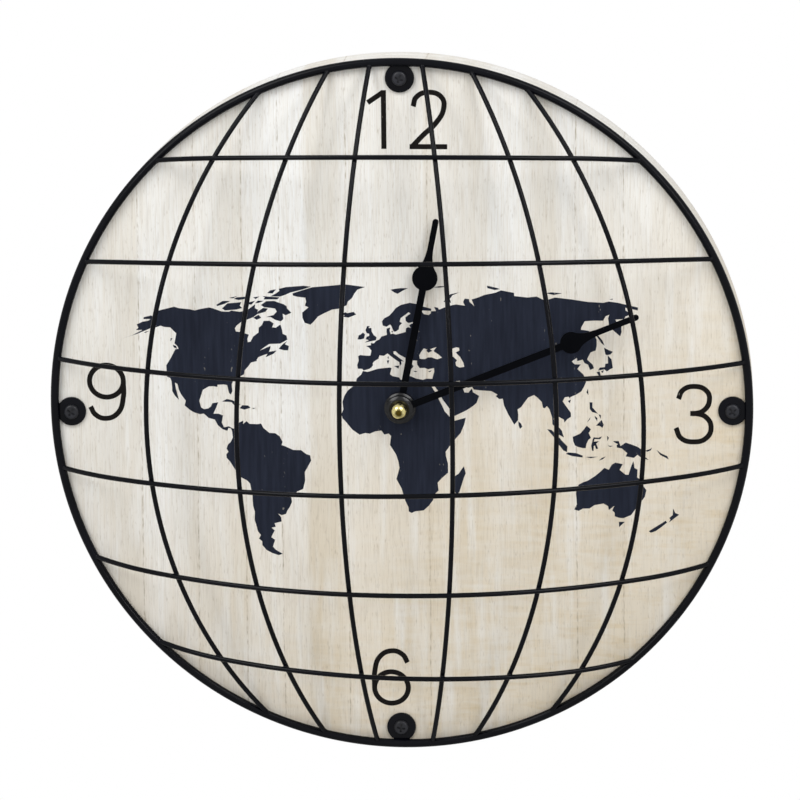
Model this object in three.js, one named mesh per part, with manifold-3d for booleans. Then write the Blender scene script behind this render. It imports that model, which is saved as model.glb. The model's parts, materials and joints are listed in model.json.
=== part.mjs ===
// Round wall clock: a wooden dial behind a bulging wire globe, driven by a quartz movement.
// Millimetres. Every piece is drawn in the clock's own frame: x to the right, y up to twelve,
// z out of the wall towards the viewer, with z = 0 in the wall plane on the hands' axis.
// The last lines stand the clock upright, with +Z up and its face towards -Y.

import * as THREE from 'three';
import { mergeVertices } from 'three/addons/utils/BufferGeometryUtils.js';
import Module from 'manifold-3d';

const wasm = await Module();
wasm.setup();

// Clearances
const SEAT_GAP = 0.1;
const WELD_GAP = 0.15;
const SHAFT_GAP = 0.1;
const RUNNING_GAP = 0.2;
const PILOT_GAP = 0.2;

// Wooden body
const BODY_DIAMETER = 398.5;
const BOARD_THICKNESS = 15;
const HOOP_DEPTH = 10;
const HOOP_WIDTH = 20;
const WEB_THICKNESS = 4.5;
const POCKET_CLEARANCE = 3;
const POCKET_CORNER = 6;

// Wire globe: rods on a shallow sphere, the parallels welded on top of the meridians
const RING_OVERHANG = 0.75;
const RING_ROD = 4.8;
const WIRE_ROD = 2.8;
const DOME_RISE = 67.4;

// Degrees: ends clockwise round the ring from 12 and anticlockwise from 6, middles on the sphere
const MERIDIANS = [
  { top: -22.9, middle: -25.9, bottom: -22.8 },
  { top: -11.3, middle: -15.8, bottom: -13.0 },
  { top: -4.5, middle: -5.2, bottom: -4.3 },
  { top: 4.0, middle: 6.0, bottom: 4.8 },
  { top: 12.0, middle: 16.4, bottom: 11.8 },
  { top: 21.2, middle: 25.5, bottom: 25.1 },
];

// Degrees: ends up round the ring from 9 and from 3, middles on the sphere
const PARALLELS = [
  { left: 45.6, middle: 27.2, right: 45.9 },
  { left: 24.8, middle: 16.5, right: 25.8 },
  { left: 7.8, middle: 4.8, right: 7.8 },
  { left: -10.7, middle: -6.5, right: -9.5 },
  { left: -26.6, middle: -17.3, right: -27.1 },
  { left: -44.3, middle: -27.5, right: -47.9 },
];

// Fixing lugs on the ring and their wood screws; angles clockwise from 12
const LUGS = [
  { place: 'top', angle: 0.3 },
  { place: 'right', angle: 90.5 },
  { place: 'bottom', angle: 180.4 },
  { place: 'left', angle: 268.7 },
];
const LUG_DIAMETER = 16.5;
const LUG_THICKNESS = 1.6;
const LUG_INSET = 6.9;
const LUG_SCREW_HEAD = 8.6;
const LUG_SCREW_HEAD_HEIGHT = 2.4;
const LUG_SCREW_SHANK = 3.6;
const LUG_SCREW_LENGTH = 12;

// Proportions of a pan-head screw: edge and crown of the head, cross recess
const SCREW_EDGE_SHARE = 0.35;
const SCREW_CROWN_WIDTH_SHARE = 0.76;
const SCREW_CROWN_HEIGHT_SHARE = 0.8;
const RECESS_LENGTH_SHARE = 0.56;
const RECESS_WIDTH_SHARE = 0.13;
const RECESS_DEPTH_SHARE = 0.6;

// Hands; angles clockwise from 12
const HOUR_ANGLE = 11.1;
const HOUR_REACH = 111;
const HOUR_SPADE_AT = 76.4;
const HOUR_SPADE_DIAMETER = 14.4;
const HOUR_HUB_DIAMETER = 18;
const MINUTE_ANGLE = 68.1;
const MINUTE_REACH = 146;
const MINUTE_SPADE_AT = 105;
const MINUTE_SPADE_DIAMETER = 12.4;
const MINUTE_HUB_DIAMETER = 16;
const HAND_SHAFT_WIDTH = 4;
const HAND_TIP_WIDTH = 3.4;
const HAND_SPADE_TAPER = 17;
const HAND_WAIST_SHARE = 1.2;
const HAND_THICKNESS = 1.2;
const HUB_HEIGHT = 3.8;
const HUB_SPACING = 0.6;

// Cap nut, bush nut, washer and gasket
const CAP_NUT_DIAMETER = 9;
const CAP_NUT_RIM = 2.2;
const CAP_NUT_HEIGHT = 6.4;
const CAP_NUT_GRIP = 2.4;
const BUSH_NUT_WIDTH = 11;
const BUSH_NUT_THICKNESS = 2.4;
const WASHER_DIAMETER = 14;
const WASHER_THICKNESS = 0.8;
const GASKET_DIAMETER = 30;
const GASKET_THICKNESS = 1;

// Movement case, shaft and bush
const MOVEMENT_CORNER = 3;
const CASE_WALL = 1.6;
const FRONT_WALL = 1.5;
const COVER_THICKNESS = 1.5;
const RIB_THICKNESS = 1.2;
const TRAIN_CLEARANCE = 0.58;
const BUSH_DIAMETER = 8;
const BUSH_WALL = 1.2;
const BUSH_STANDS_PROUD = 4;
const ARBOR_DIAMETER = 3.4;
const PIVOT_DIAMETER = 1.2;

// Gear train: one level for each wheel, stacked from the cover to the front wall
const LEVEL_START = 0.6;
const LEVEL_PITCH = 1.7;
const LEVELS = { intermediate: 0, seconds: 1, third: 2, centre: 3, stator: 4, motion: 5, hour: 6 };
const WHEEL_THICKNESS = 0.8;
const PINION_LENGTH = 1.3;
const TOOTH_ADDENDUM = 0.55;
const TOOTH_DEDENDUM = 1.3;
const TOOTH_TIP_SHARE = 0.2;
const TRAIN_MODULE = 0.4;
const MOTION_MODULE = 0.5;
const SMALL_PINION = 6;
const INTERMEDIATE_TEETH = 30;
const SECONDS_TEETH = 36;
const THIRD_TEETH = 45;
const CENTRE_TEETH = 48;
const CANNON_TEETH = 8;
const MOTION_TEETH = 24;
const HOUR_TEETH = 24;
const SETTING_TEETH = 8;

// Directions from one arbor to the next, anticlockwise from +x, in degrees
const THIRD_DIRECTION = 130;
const INTERMEDIATE_DIRECTION = 40;
const ROTOR_DIRECTION = 20;
const MOTION_DIRECTION = 180;
const SETTING_DIRECTION = 220;

// Motor, circuit, cell and contacts
const ROTOR_MAGNET_DIAMETER = 6;
const ROTOR_MAGNET_LENGTH = 2;
const STATOR_GAP = 0.6;
const STATOR_RING = 2.6;
const STATOR_THICKNESS = 0.8;
const STATOR_LEG_WIDTH = 3;
const COIL_LENGTH = 19;
const COIL_WIDTH = 8;
const COIL_HEIGHT = 5.4;
const CORE_WIDTH = 4;
const CORE_THICKNESS = 1.2;
const CIRCUIT_WIDTH = 15;
const CIRCUIT_HEIGHT = 11;
const CIRCUIT_THICKNESS = 1;
const CRYSTAL_DIAMETER = 2;
const CRYSTAL_LENGTH = 6;
const CELL_DIAMETER = 14.2;
const CELL_LENGTH = 50.4;
const CELL_NUB_DIAMETER = 5.4;
const CELL_NUB_LENGTH = 1.2;
const CONTACT_THICKNESS = 0.4;
const CONTACT_WIDTH = 10;
const CONTACT_HEIGHT = 11;
const CONTACT_SEAT = 0.6;

// Setting knob on the movement's back
const KNOB_DIAMETER = 10;
const KNOB_LENGTH = 2.8;
const KNOB_FLUTES = 18;
const KNOB_FLUTE_DEPTH = 0.5;
const KNOB_ARBOR_DIAMETER = 2;

// Sawtooth hanger on the board's back
const HANGER_WIDTH = 44;
const HANGER_HEIGHT = 9;
const HANGER_THICKNESS = 1;
const HANGER_BELOW_EDGE = 49.25;
const HANGER_TEETH = 8;
const HANGER_TOOTH = 2;
const HANGER_SCREW_INSET = 5;
const HANGER_SCREW_HEAD = 5.6;
const HANGER_SCREW_HEAD_HEIGHT = 1.4;
const HANGER_SCREW_SHANK = 2.4;
const HANGER_SCREW_LENGTH = 8;

// Facets
const BODY_SIDES = 64;
const RING_SIDES = 64;
const ROD_SIDES = 8;
const WIRE_STEPS = 16;
const ROUND_SIDES = 24;
const PIN_SIDES = 12;
const CURVE_STEPS = 5;
const CORNER_STEPS = 4;
const HEXAGON = 6;
const CAP_NUT_STEPS = 4;

// Cutters for through holes reach this far both ways
const THROUGH = 100;

// Places worked out from the driving dimensions
const contactAt = CELL_LENGTH / 2 + RUNNING_GAP + CONTACT_THICKNESS / 2;
const bayHeight = CELL_DIAMETER + 3 * RUNNING_GAP;
const trainBottom = -TRAIN_MODULE * (CENTRE_TEETH / 2 + TOOTH_ADDENDUM) - TRAIN_CLEARANCE;
const bayTop = trainBottom - RIB_THICKNESS;
const insideHalfWidth = contactAt + CONTACT_THICKNESS / 2 + CONTACT_SEAT;
const insideHalfHeight = bayHeight - bayTop;
const movementWidth = 2 * (insideHalfWidth + CASE_WALL);
const movementHeight = 2 * (insideHalfHeight + CASE_WALL);
const boardBack = HOOP_DEPTH;
const boardFront = HOOP_DEPTH + BOARD_THICKNESS;
const pocketFloor = boardFront - WEB_THICKNESS;
const cavityDepth = LEVEL_START + Object.keys(LEVELS).length * LEVEL_PITCH;
const movementDepth = COVER_THICKNESS + cavityDepth + FRONT_WALL;
const movementFront = pocketFloor - GASKET_THICKNESS;
const movementBack = movementFront - movementDepth;
const frontWallInside = movementDepth - FRONT_WALL;
const bushEnd = boardFront + BUSH_STANDS_PROUD;
const bushBore = BUSH_DIAMETER - 2 * BUSH_WALL;
const hourPipeOutside = bushBore - 2 * SHAFT_GAP;
const hourPipeBore = ARBOR_DIAMETER + 2 * SHAFT_GAP;
const hourHubBack = bushEnd + HUB_SPACING;
const minuteHubBack = hourHubBack + HUB_HEIGHT + HUB_SPACING;
const capNutBack = minuteHubBack + HUB_HEIGHT + SEAT_GAP;
const ringRadius = BODY_DIAMETER / 2 + RING_OVERHANG - RING_ROD / 2;
const ringHeight = boardFront + SEAT_GAP + RING_ROD / 2;
const hangerUp = BODY_DIAMETER / 2 - HANGER_BELOW_EDGE;
const lugRadius = ringRadius - RING_ROD / 2 - LUG_INSET;
const meridianSphere = (ringRadius ** 2 + DOME_RISE ** 2) / (2 * DOME_RISE);
const parallelSphere = meridianSphere + WIRE_ROD + WELD_GAP;
const sphereCentre = ringHeight + DOME_RISE - meridianSphere;
const ringPolar = Math.asin(ringRadius / meridianSphere);
const radians = THREE.MathUtils.degToRad;

// Turns a closed geometry into a solid that can be joined and cut.
function solid(geometry) {
  const bare = geometry.clone();
  bare.deleteAttribute('normal');
  bare.deleteAttribute('uv');
  const merged = mergeVertices(bare, 1e-4);
  const corners = merged.index.array;
  const triangles = [];
  for (let i = 0; i < corners.length; i += 3) {
    const [a, b, c] = corners.slice(i, i + 3);
    if (a !== b && b !== c && c !== a) triangles.push(a, b, c);
  }
  return new wasm.Manifold(new wasm.Mesh({
    numProp: 3,
    vertProperties: new Float32Array(merged.attributes.position.array),
    triVerts: new Uint32Array(triangles),
  }));
}

// Turns a solid back into a geometry with flat faces.
function surface(body) {
  const mesh = body.getMesh();
  const geometry = new THREE.BufferGeometry();
  geometry.setAttribute('position', new THREE.BufferAttribute(new Float32Array(mesh.vertProperties), 3));
  geometry.setIndex(new THREE.BufferAttribute(new Uint32Array(mesh.triVerts), 1));
  geometry.computeVertexNormals();
  return geometry;
}

const joined = (...geometries) => geometries.map(solid).reduce((whole, next) => whole.add(next));
const cut = (body, ...cutters) => cutters.map(solid).reduce((whole, next) => whole.subtract(next), body);

// Finishes, as colour, roughness and metalness
const FINISHES = {
  paleWood: [0xe2dac8, 0.75, 0],
  blackSteel: [0x17181c, 0.45, 0.6],
  brass: [0xc9a24a, 0.25, 1],
  steel: [0xb9bcc0, 0.35, 1],
  rubber: [0x202020, 0.9, 0],
  blackPlastic: [0x1b1b1d, 0.55, 0],
  whitePlastic: [0xe6e4dc, 0.5, 0],
  copperWire: [0xb0602c, 0.4, 0.9],
  circuit: [0x2e6b3a, 0.6, 0],
  magnet: [0x4a4a4e, 0.5, 0.4],
  cellJacket: [0x8f9aa3, 0.35, 0.3],
};

// Makes one named piece of the clock from a geometry or a solid.
function piece(name, form, finish, place = [0, 0, 0]) {
  const geometry = form instanceof THREE.BufferGeometry ? form : surface(form);
  const [color, roughness, metalness] = FINISHES[finish];
  const material = new THREE.MeshStandardMaterial({ color, roughness, metalness });
  const mesh = new THREE.Mesh(geometry, material);
  mesh.name = name;
  mesh.position.set(...place);
  return mesh;
}

// Corner points of a regular polygon, with its first corner on +x.
function ringOfPoints(radius, sides) {
  return Array.from({ length: sides }, (_, i) => {
    const angle = (i / sides) * 2 * Math.PI;
    return new THREE.Vector2(radius * Math.cos(angle), radius * Math.sin(angle));
  });
}

function disc(diameter, depth, back, sides = ROUND_SIDES, [x, y] = [0, 0]) {
  const outline = new THREE.Shape(ringOfPoints(diameter / 2, sides));
  return new THREE.ExtrudeGeometry(outline, { depth, bevelEnabled: false }).translate(x, y, back);
}

// A cutter for a hole right through a piece.
function hole(diameter, sides = ROUND_SIDES, place = [0, 0]) {
  return disc(diameter, 2 * THROUGH, -THROUGH, sides, place);
}

function tube(outside, bore, depth, back, sides = ROUND_SIDES) {
  const outline = new THREE.Shape(ringOfPoints(outside / 2, sides));
  outline.holes.push(new THREE.Path(ringOfPoints(bore / 2, sides)));
  return new THREE.ExtrudeGeometry(outline, { depth, bevelEnabled: false }).translate(0, 0, back);
}

function block(width, height, depth, [x, y, z]) {
  return new THREE.BoxGeometry(width, height, depth).translate(x, y, z);
}

function plate(points, depth, back) {
  const outline = new THREE.Shape(points.map(([x, y]) => new THREE.Vector2(x, y)));
  return new THREE.ExtrudeGeometry(outline, { depth, bevelEnabled: false }).translate(0, 0, back);
}

function roundedRectangle(width, height, corner) {
  const [x, y] = [width / 2 - corner, height / 2 - corner];
  const outline = new THREE.Shape();
  outline.absarc(x, y, corner, 0, Math.PI / 2);
  outline.absarc(-x, y, corner, Math.PI / 2, Math.PI);
  outline.absarc(-x, -y, corner, Math.PI, 1.5 * Math.PI);
  outline.absarc(x, -y, corner, 1.5 * Math.PI, 2 * Math.PI);
  return outline;
}

function roundedBlock(width, height, corner, depth, back) {
  const outline = roundedRectangle(width, height, corner);
  const options = { depth, bevelEnabled: false, curveSegments: CORNER_STEPS };
  return new THREE.ExtrudeGeometry(outline, options).translate(0, 0, back);
}

function turned(profile, sides = PIN_SIDES) {
  const points = profile.map(([radius, height]) => new THREE.Vector2(radius, height));
  return new THREE.LatheGeometry(points, sides).rotateX(Math.PI / 2);
}

// A pan-head cross-recess wood screw, with the seat of its head at z = 0 and its point towards -z.
function woodScrew(head, headHeight, shank, length) {
  const body = solid(turned([
    [0, -length],
    [shank / 4, -length + shank / 2],
    [shank / 2, -length + shank],
    [shank / 2, 0],
    [head / 2, 0],
    [head / 2, headHeight * SCREW_EDGE_SHARE],
    [head * SCREW_CROWN_WIDTH_SHARE / 2, headHeight * SCREW_CROWN_HEIGHT_SHARE],
    [0, headHeight],
  ]));
  const [long, narrow] = [head * RECESS_LENGTH_SHARE, head * RECESS_WIDTH_SHARE];
  const depth = 2 * headHeight * RECESS_DEPTH_SHARE;
  const middle = [0, 0, headHeight];
  return cut(body, block(long, narrow, depth, middle), block(narrow, long, depth, middle));
}

// A point given by its angle clockwise from 12 and its distance from the hands' axis.
function clockPoint(angle, radius) {
  return [radius * Math.sin(radians(angle)), radius * Math.cos(radians(angle))];
}

// Wooden board with a routed pocket for the movement, and the hoop that stands it off the wall
function woodenBody() {
  const pocketWidth = movementWidth + 2 * POCKET_CLEARANCE;
  const pocketHeight = movementHeight + 2 * POCKET_CLEARANCE;
  const pilotDepth = LUG_SCREW_LENGTH + PILOT_GAP;
  const pilotTop = boardFront + LUG_THICKNESS + 2 * SEAT_GAP;
  const hangerPilotDepth = HANGER_SCREW_LENGTH + PILOT_GAP;
  const hangerPilotBack = boardBack - HANGER_THICKNESS - 2 * SEAT_GAP;
  const board = cut(
    solid(disc(BODY_DIAMETER, BOARD_THICKNESS, boardBack, BODY_SIDES)),
    roundedBlock(pocketWidth, pocketHeight, POCKET_CORNER, pocketFloor, 0),
    hole(BUSH_DIAMETER + 2 * PILOT_GAP),
    ...LUGS.map(({ angle }) => disc(LUG_SCREW_SHANK + 2 * PILOT_GAP, pilotDepth, pilotTop - pilotDepth,
      PIN_SIDES, clockPoint(angle, lugRadius))),
    ...hangerScrewPlaces().map((place) => disc(HANGER_SCREW_SHANK + 2 * PILOT_GAP, hangerPilotDepth,
      hangerPilotBack, PIN_SIDES, place)),
  );
  const hoop = tube(BODY_DIAMETER, BODY_DIAMETER - 2 * HOOP_WIDTH, HOOP_DEPTH - SEAT_GAP, 0, BODY_SIDES);
  return [piece('dial_board', board, 'paleWood'), piece('rear_hoop', hoop, 'paleWood')];
}

// The circle arc that starts at one point, passes a second and ends at a third.
class ArcThroughPoints extends THREE.Curve {
  constructor(start, middle, end) {
    super();
    const a = start.clone().sub(middle);
    const b = end.clone().sub(middle);
    const normal = a.clone().cross(b);
    const lift = b.clone().multiplyScalar(a.lengthSq()).sub(a.clone().multiplyScalar(b.lengthSq()));
    this.centre = lift.cross(normal).divideScalar(2 * normal.lengthSq()).add(middle);
    this.across = middle.clone().sub(this.centre);
    this.along = normal.normalize().cross(this.across);
    this.from = this.angleOf(start);
    this.to = this.angleOf(end);
  }

  angleOf(point) {
    const arm = point.clone().sub(this.centre);
    return Math.atan2(arm.dot(this.along), arm.dot(this.across));
  }

  getPoint(t, target = new THREE.Vector3()) {
    const angle = this.from + (this.to - this.from) * t;
    return target.copy(this.centre)
      .addScaledVector(this.across, Math.cos(angle))
      .addScaledVector(this.along, Math.sin(angle));
  }
}

// A point on one of the globe's spheres, by its polar angle and its angle clockwise from 12.
function spherePoint(radius, polar, angle) {
  const [x, y] = clockPoint(angle, radius * Math.sin(polar));
  return new THREE.Vector3(x, y, sphereCentre + radius * Math.cos(polar));
}

// The rim ring, widened all round by a gap when it cuts its neighbours.
function ringGeometry(gap = 0) {
  const rod = ringOfPoints(RING_ROD / 2 + gap, ROD_SIDES);
  const profile = [...rod, rod[0]].map((point) => [ringRadius + point.x, point.y]);
  return turned(profile, RING_SIDES).translate(0, 0, ringHeight);
}

// One wire of the globe, bent to an arc and coped to the ring at both ends.
function wire(sphere, startAngle, middle, endAngle) {
  const arc = new ArcThroughPoints(
    spherePoint(sphere, ringPolar, startAngle),
    middle,
    spherePoint(sphere, ringPolar, endAngle),
  );
  const section = new THREE.Shape(ringOfPoints(WIRE_ROD / 2, ROD_SIDES));
  const rod = new THREE.ExtrudeGeometry(section, { steps: WIRE_STEPS, extrudePath: arc });
  return cut(solid(rod), ringGeometry(WELD_GAP));
}

// Rim ring, six meridians and six parallels, four lugs and their screws
function wireGlobe() {
  const ring = piece('rim_ring', ringGeometry(), 'blackSteel');
  const meridians = MERIDIANS.map(({ top, middle, bottom }, i) => piece(
    `meridian_wire_${i + 1}`,
    wire(meridianSphere, top, spherePoint(meridianSphere, radians(middle), 90), 180 - bottom),
    'blackSteel',
  ));
  const parallels = PARALLELS.map(({ left, middle, right }, i) => piece(
    `parallel_wire_${i + 1}`,
    wire(parallelSphere, left - 90, spherePoint(parallelSphere, radians(middle), 0), 90 - right),
    'blackSteel',
  ));
  const lugSeat = boardFront + SEAT_GAP;
  const screwSeat = lugSeat + LUG_THICKNESS + SEAT_GAP;
  const lugs = LUGS.flatMap(({ place, angle }) => {
    const [x, y] = clockPoint(angle, lugRadius);
    const lug = cut(
      solid(disc(LUG_DIAMETER, LUG_THICKNESS, lugSeat, ROUND_SIDES, [x, y])),
      hole(LUG_SCREW_SHANK + 2 * PILOT_GAP, PIN_SIDES, [x, y]),
      ringGeometry(WELD_GAP),
    );
    const screw = woodScrew(LUG_SCREW_HEAD, LUG_SCREW_HEAD_HEIGHT, LUG_SCREW_SHANK, LUG_SCREW_LENGTH);
    return [
      piece(`lug_${place}`, lug, 'blackSteel'),
      piece(`lug_screw_${place}`, screw, 'blackSteel', [x, y, screwSeat]),
    ];
  });
  return [ring, ...meridians, ...parallels, ...lugs];
}

// A spade hand that points to 12, with its hub's back at z = 0.
function spadeHand(reach, spadeAt, spadeDiameter, hubDiameter, bore) {
  const [spade, hub] = [spadeDiameter / 2, hubDiameter / 2];
  const [half, tip] = [HAND_SHAFT_WIDTH / 2, HAND_TIP_WIDTH / 2];
  const hubAngle = Math.acos(half / hub);
  const neckAngle = Math.acos(half / spade);
  const shoulderAngle = Math.PI / 4;
  const shoulder = spade * Math.SQRT1_2;
  const fingerStart = spadeAt + HAND_SPADE_TAPER;
  const [waist, waistAt] = [tip * HAND_WAIST_SHARE, spadeAt + spade * HAND_WAIST_SHARE];
  const outline = new THREE.Shape();
  outline.absarc(0, 0, hub, Math.PI - hubAngle, 2 * Math.PI + hubAngle);
  outline.absarc(0, spadeAt, spade, -neckAngle, shoulderAngle);
  outline.quadraticCurveTo(waist, waistAt, tip, fingerStart);
  outline.absarc(0, reach - tip, tip, 0, Math.PI);
  outline.lineTo(-tip, fingerStart);
  outline.quadraticCurveTo(-waist, waistAt, -shoulder, spadeAt + shoulder);
  outline.absarc(0, spadeAt, spade, Math.PI - shoulderAngle, Math.PI + neckAngle);
  const blade = new THREE.ExtrudeGeometry(outline, {
    depth: HAND_THICKNESS,
    bevelEnabled: false,
    curveSegments: CURVE_STEPS,
  }).translate(0, 0, (HUB_HEIGHT - HAND_THICKNESS) / 2);
  const hand = solid(blade).add(solid(disc(hubDiameter, HUB_HEIGHT, 0)));
  return cut(hand, hole(bore));
}

// Hands, cap nut, and the nut, washer and gasket that clamp the movement to the board
function handsAndFixings() {
  const hour = piece('hour_hand', spadeHand(HOUR_REACH, HOUR_SPADE_AT, HOUR_SPADE_DIAMETER,
    HOUR_HUB_DIAMETER, hourPipeOutside + 2 * SEAT_GAP), 'blackSteel', [0, 0, hourHubBack]);
  hour.rotation.z = -radians(HOUR_ANGLE);
  const minute = piece('minute_hand', spadeHand(MINUTE_REACH, MINUTE_SPADE_AT, MINUTE_SPADE_DIAMETER,
    MINUTE_HUB_DIAMETER, ARBOR_DIAMETER + 2 * SEAT_GAP), 'blackSteel', [0, 0, minuteHubBack]);
  minute.rotation.z = -radians(MINUTE_ANGLE);
  const nutRadius = CAP_NUT_DIAMETER / 2;
  const nutBore = ARBOR_DIAMETER / 2 + SEAT_GAP;
  const crown = CAP_NUT_HEIGHT - CAP_NUT_RIM;
  const dome = Array.from({ length: CAP_NUT_STEPS }, (_, i) => {
    const angle = (i / CAP_NUT_STEPS) * Math.PI / 2;
    return [nutRadius * Math.cos(angle), CAP_NUT_RIM + crown * Math.sin(angle)];
  });
  const nut = turned([
    [0, CAP_NUT_GRIP + SEAT_GAP],
    [nutBore, CAP_NUT_GRIP + SEAT_GAP],
    [nutBore, 0],
    [nutRadius, 0],
    ...dome,
    [0, CAP_NUT_HEIGHT],
  ], ROUND_SIDES);
  const washerBack = boardFront + SEAT_GAP;
  const nutBack = washerBack + WASHER_THICKNESS + SEAT_GAP;
  const clearBore = BUSH_DIAMETER + 2 * SEAT_GAP;
  const hexCorner = BUSH_NUT_WIDTH / Math.cos(Math.PI / HEXAGON);
  const hexNut = cut(solid(disc(hexCorner, BUSH_NUT_THICKNESS, nutBack, HEXAGON)), hole(clearBore));
  const gasketDepth = GASKET_THICKNESS - 2 * SEAT_GAP;
  return [
    hour,
    minute,
    piece('cap_nut', nut, 'brass', [0, 0, capNutBack]),
    piece('bush_nut', hexNut, 'brass'),
    piece('bush_washer', tube(WASHER_DIAMETER, clearBore, WASHER_THICKNESS, washerBack), 'steel'),
    piece('gasket', tube(GASKET_DIAMETER, clearBore, gasketDepth, movementFront + SEAT_GAP), 'rubber'),
  ];
}

// A gear with V-shaped gaps and one tooth centred on the given angle.
function gear(teeth, module, toothAngle, depth, back) {
  const pitchRadius = teeth * module / 2;
  const [root, tip] = [pitchRadius - TOOTH_DEDENDUM * module, pitchRadius + TOOTH_ADDENDUM * module];
  const step = 2 * Math.PI / teeth;
  const tipHalf = TOOTH_TIP_SHARE * step / 2;
  const points = Array.from({ length: teeth }, (_, i) => {
    const middle = toothAngle + i * step;
    return [[tip, -tipHalf], [tip, tipHalf], [root, step / 2]].map(([radius, turn]) => [
      radius * Math.cos(middle + turn),
      radius * Math.sin(middle + turn),
    ]);
  }).flat();
  return plate(points, depth, back);
}

const level = (name) => COVER_THICKNESS + LEVEL_START + LEVELS[name] * LEVEL_PITCH;
const wheelBack = (name) => level(name) + (PINION_LENGTH - WHEEL_THICKNESS) / 2;
const wheelGear = (teeth, module, name) => gear(teeth, module, 0, WHEEL_THICKNESS, wheelBack(name));
const arbor = (diameter, from, to) => disc(diameter, to - from, from, PIN_SIDES);

// The next arbor's place, from one arbor along a direction.
function step([x, y], distance, direction) {
  return [x + distance * Math.cos(radians(direction)), y + distance * Math.sin(radians(direction))];
}

// A pinion turned to mesh with a wheel that has a tooth on +x and lies back along the direction.
function pinionGear(teeth, module, wheelTeeth, direction, name) {
  const line = radians(direction);
  const toothAngle = line + Math.PI + (line * wheelTeeth - Math.PI) / teeth;
  return gear(teeth, module, toothAngle, PINION_LENGTH, level(name));
}

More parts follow.
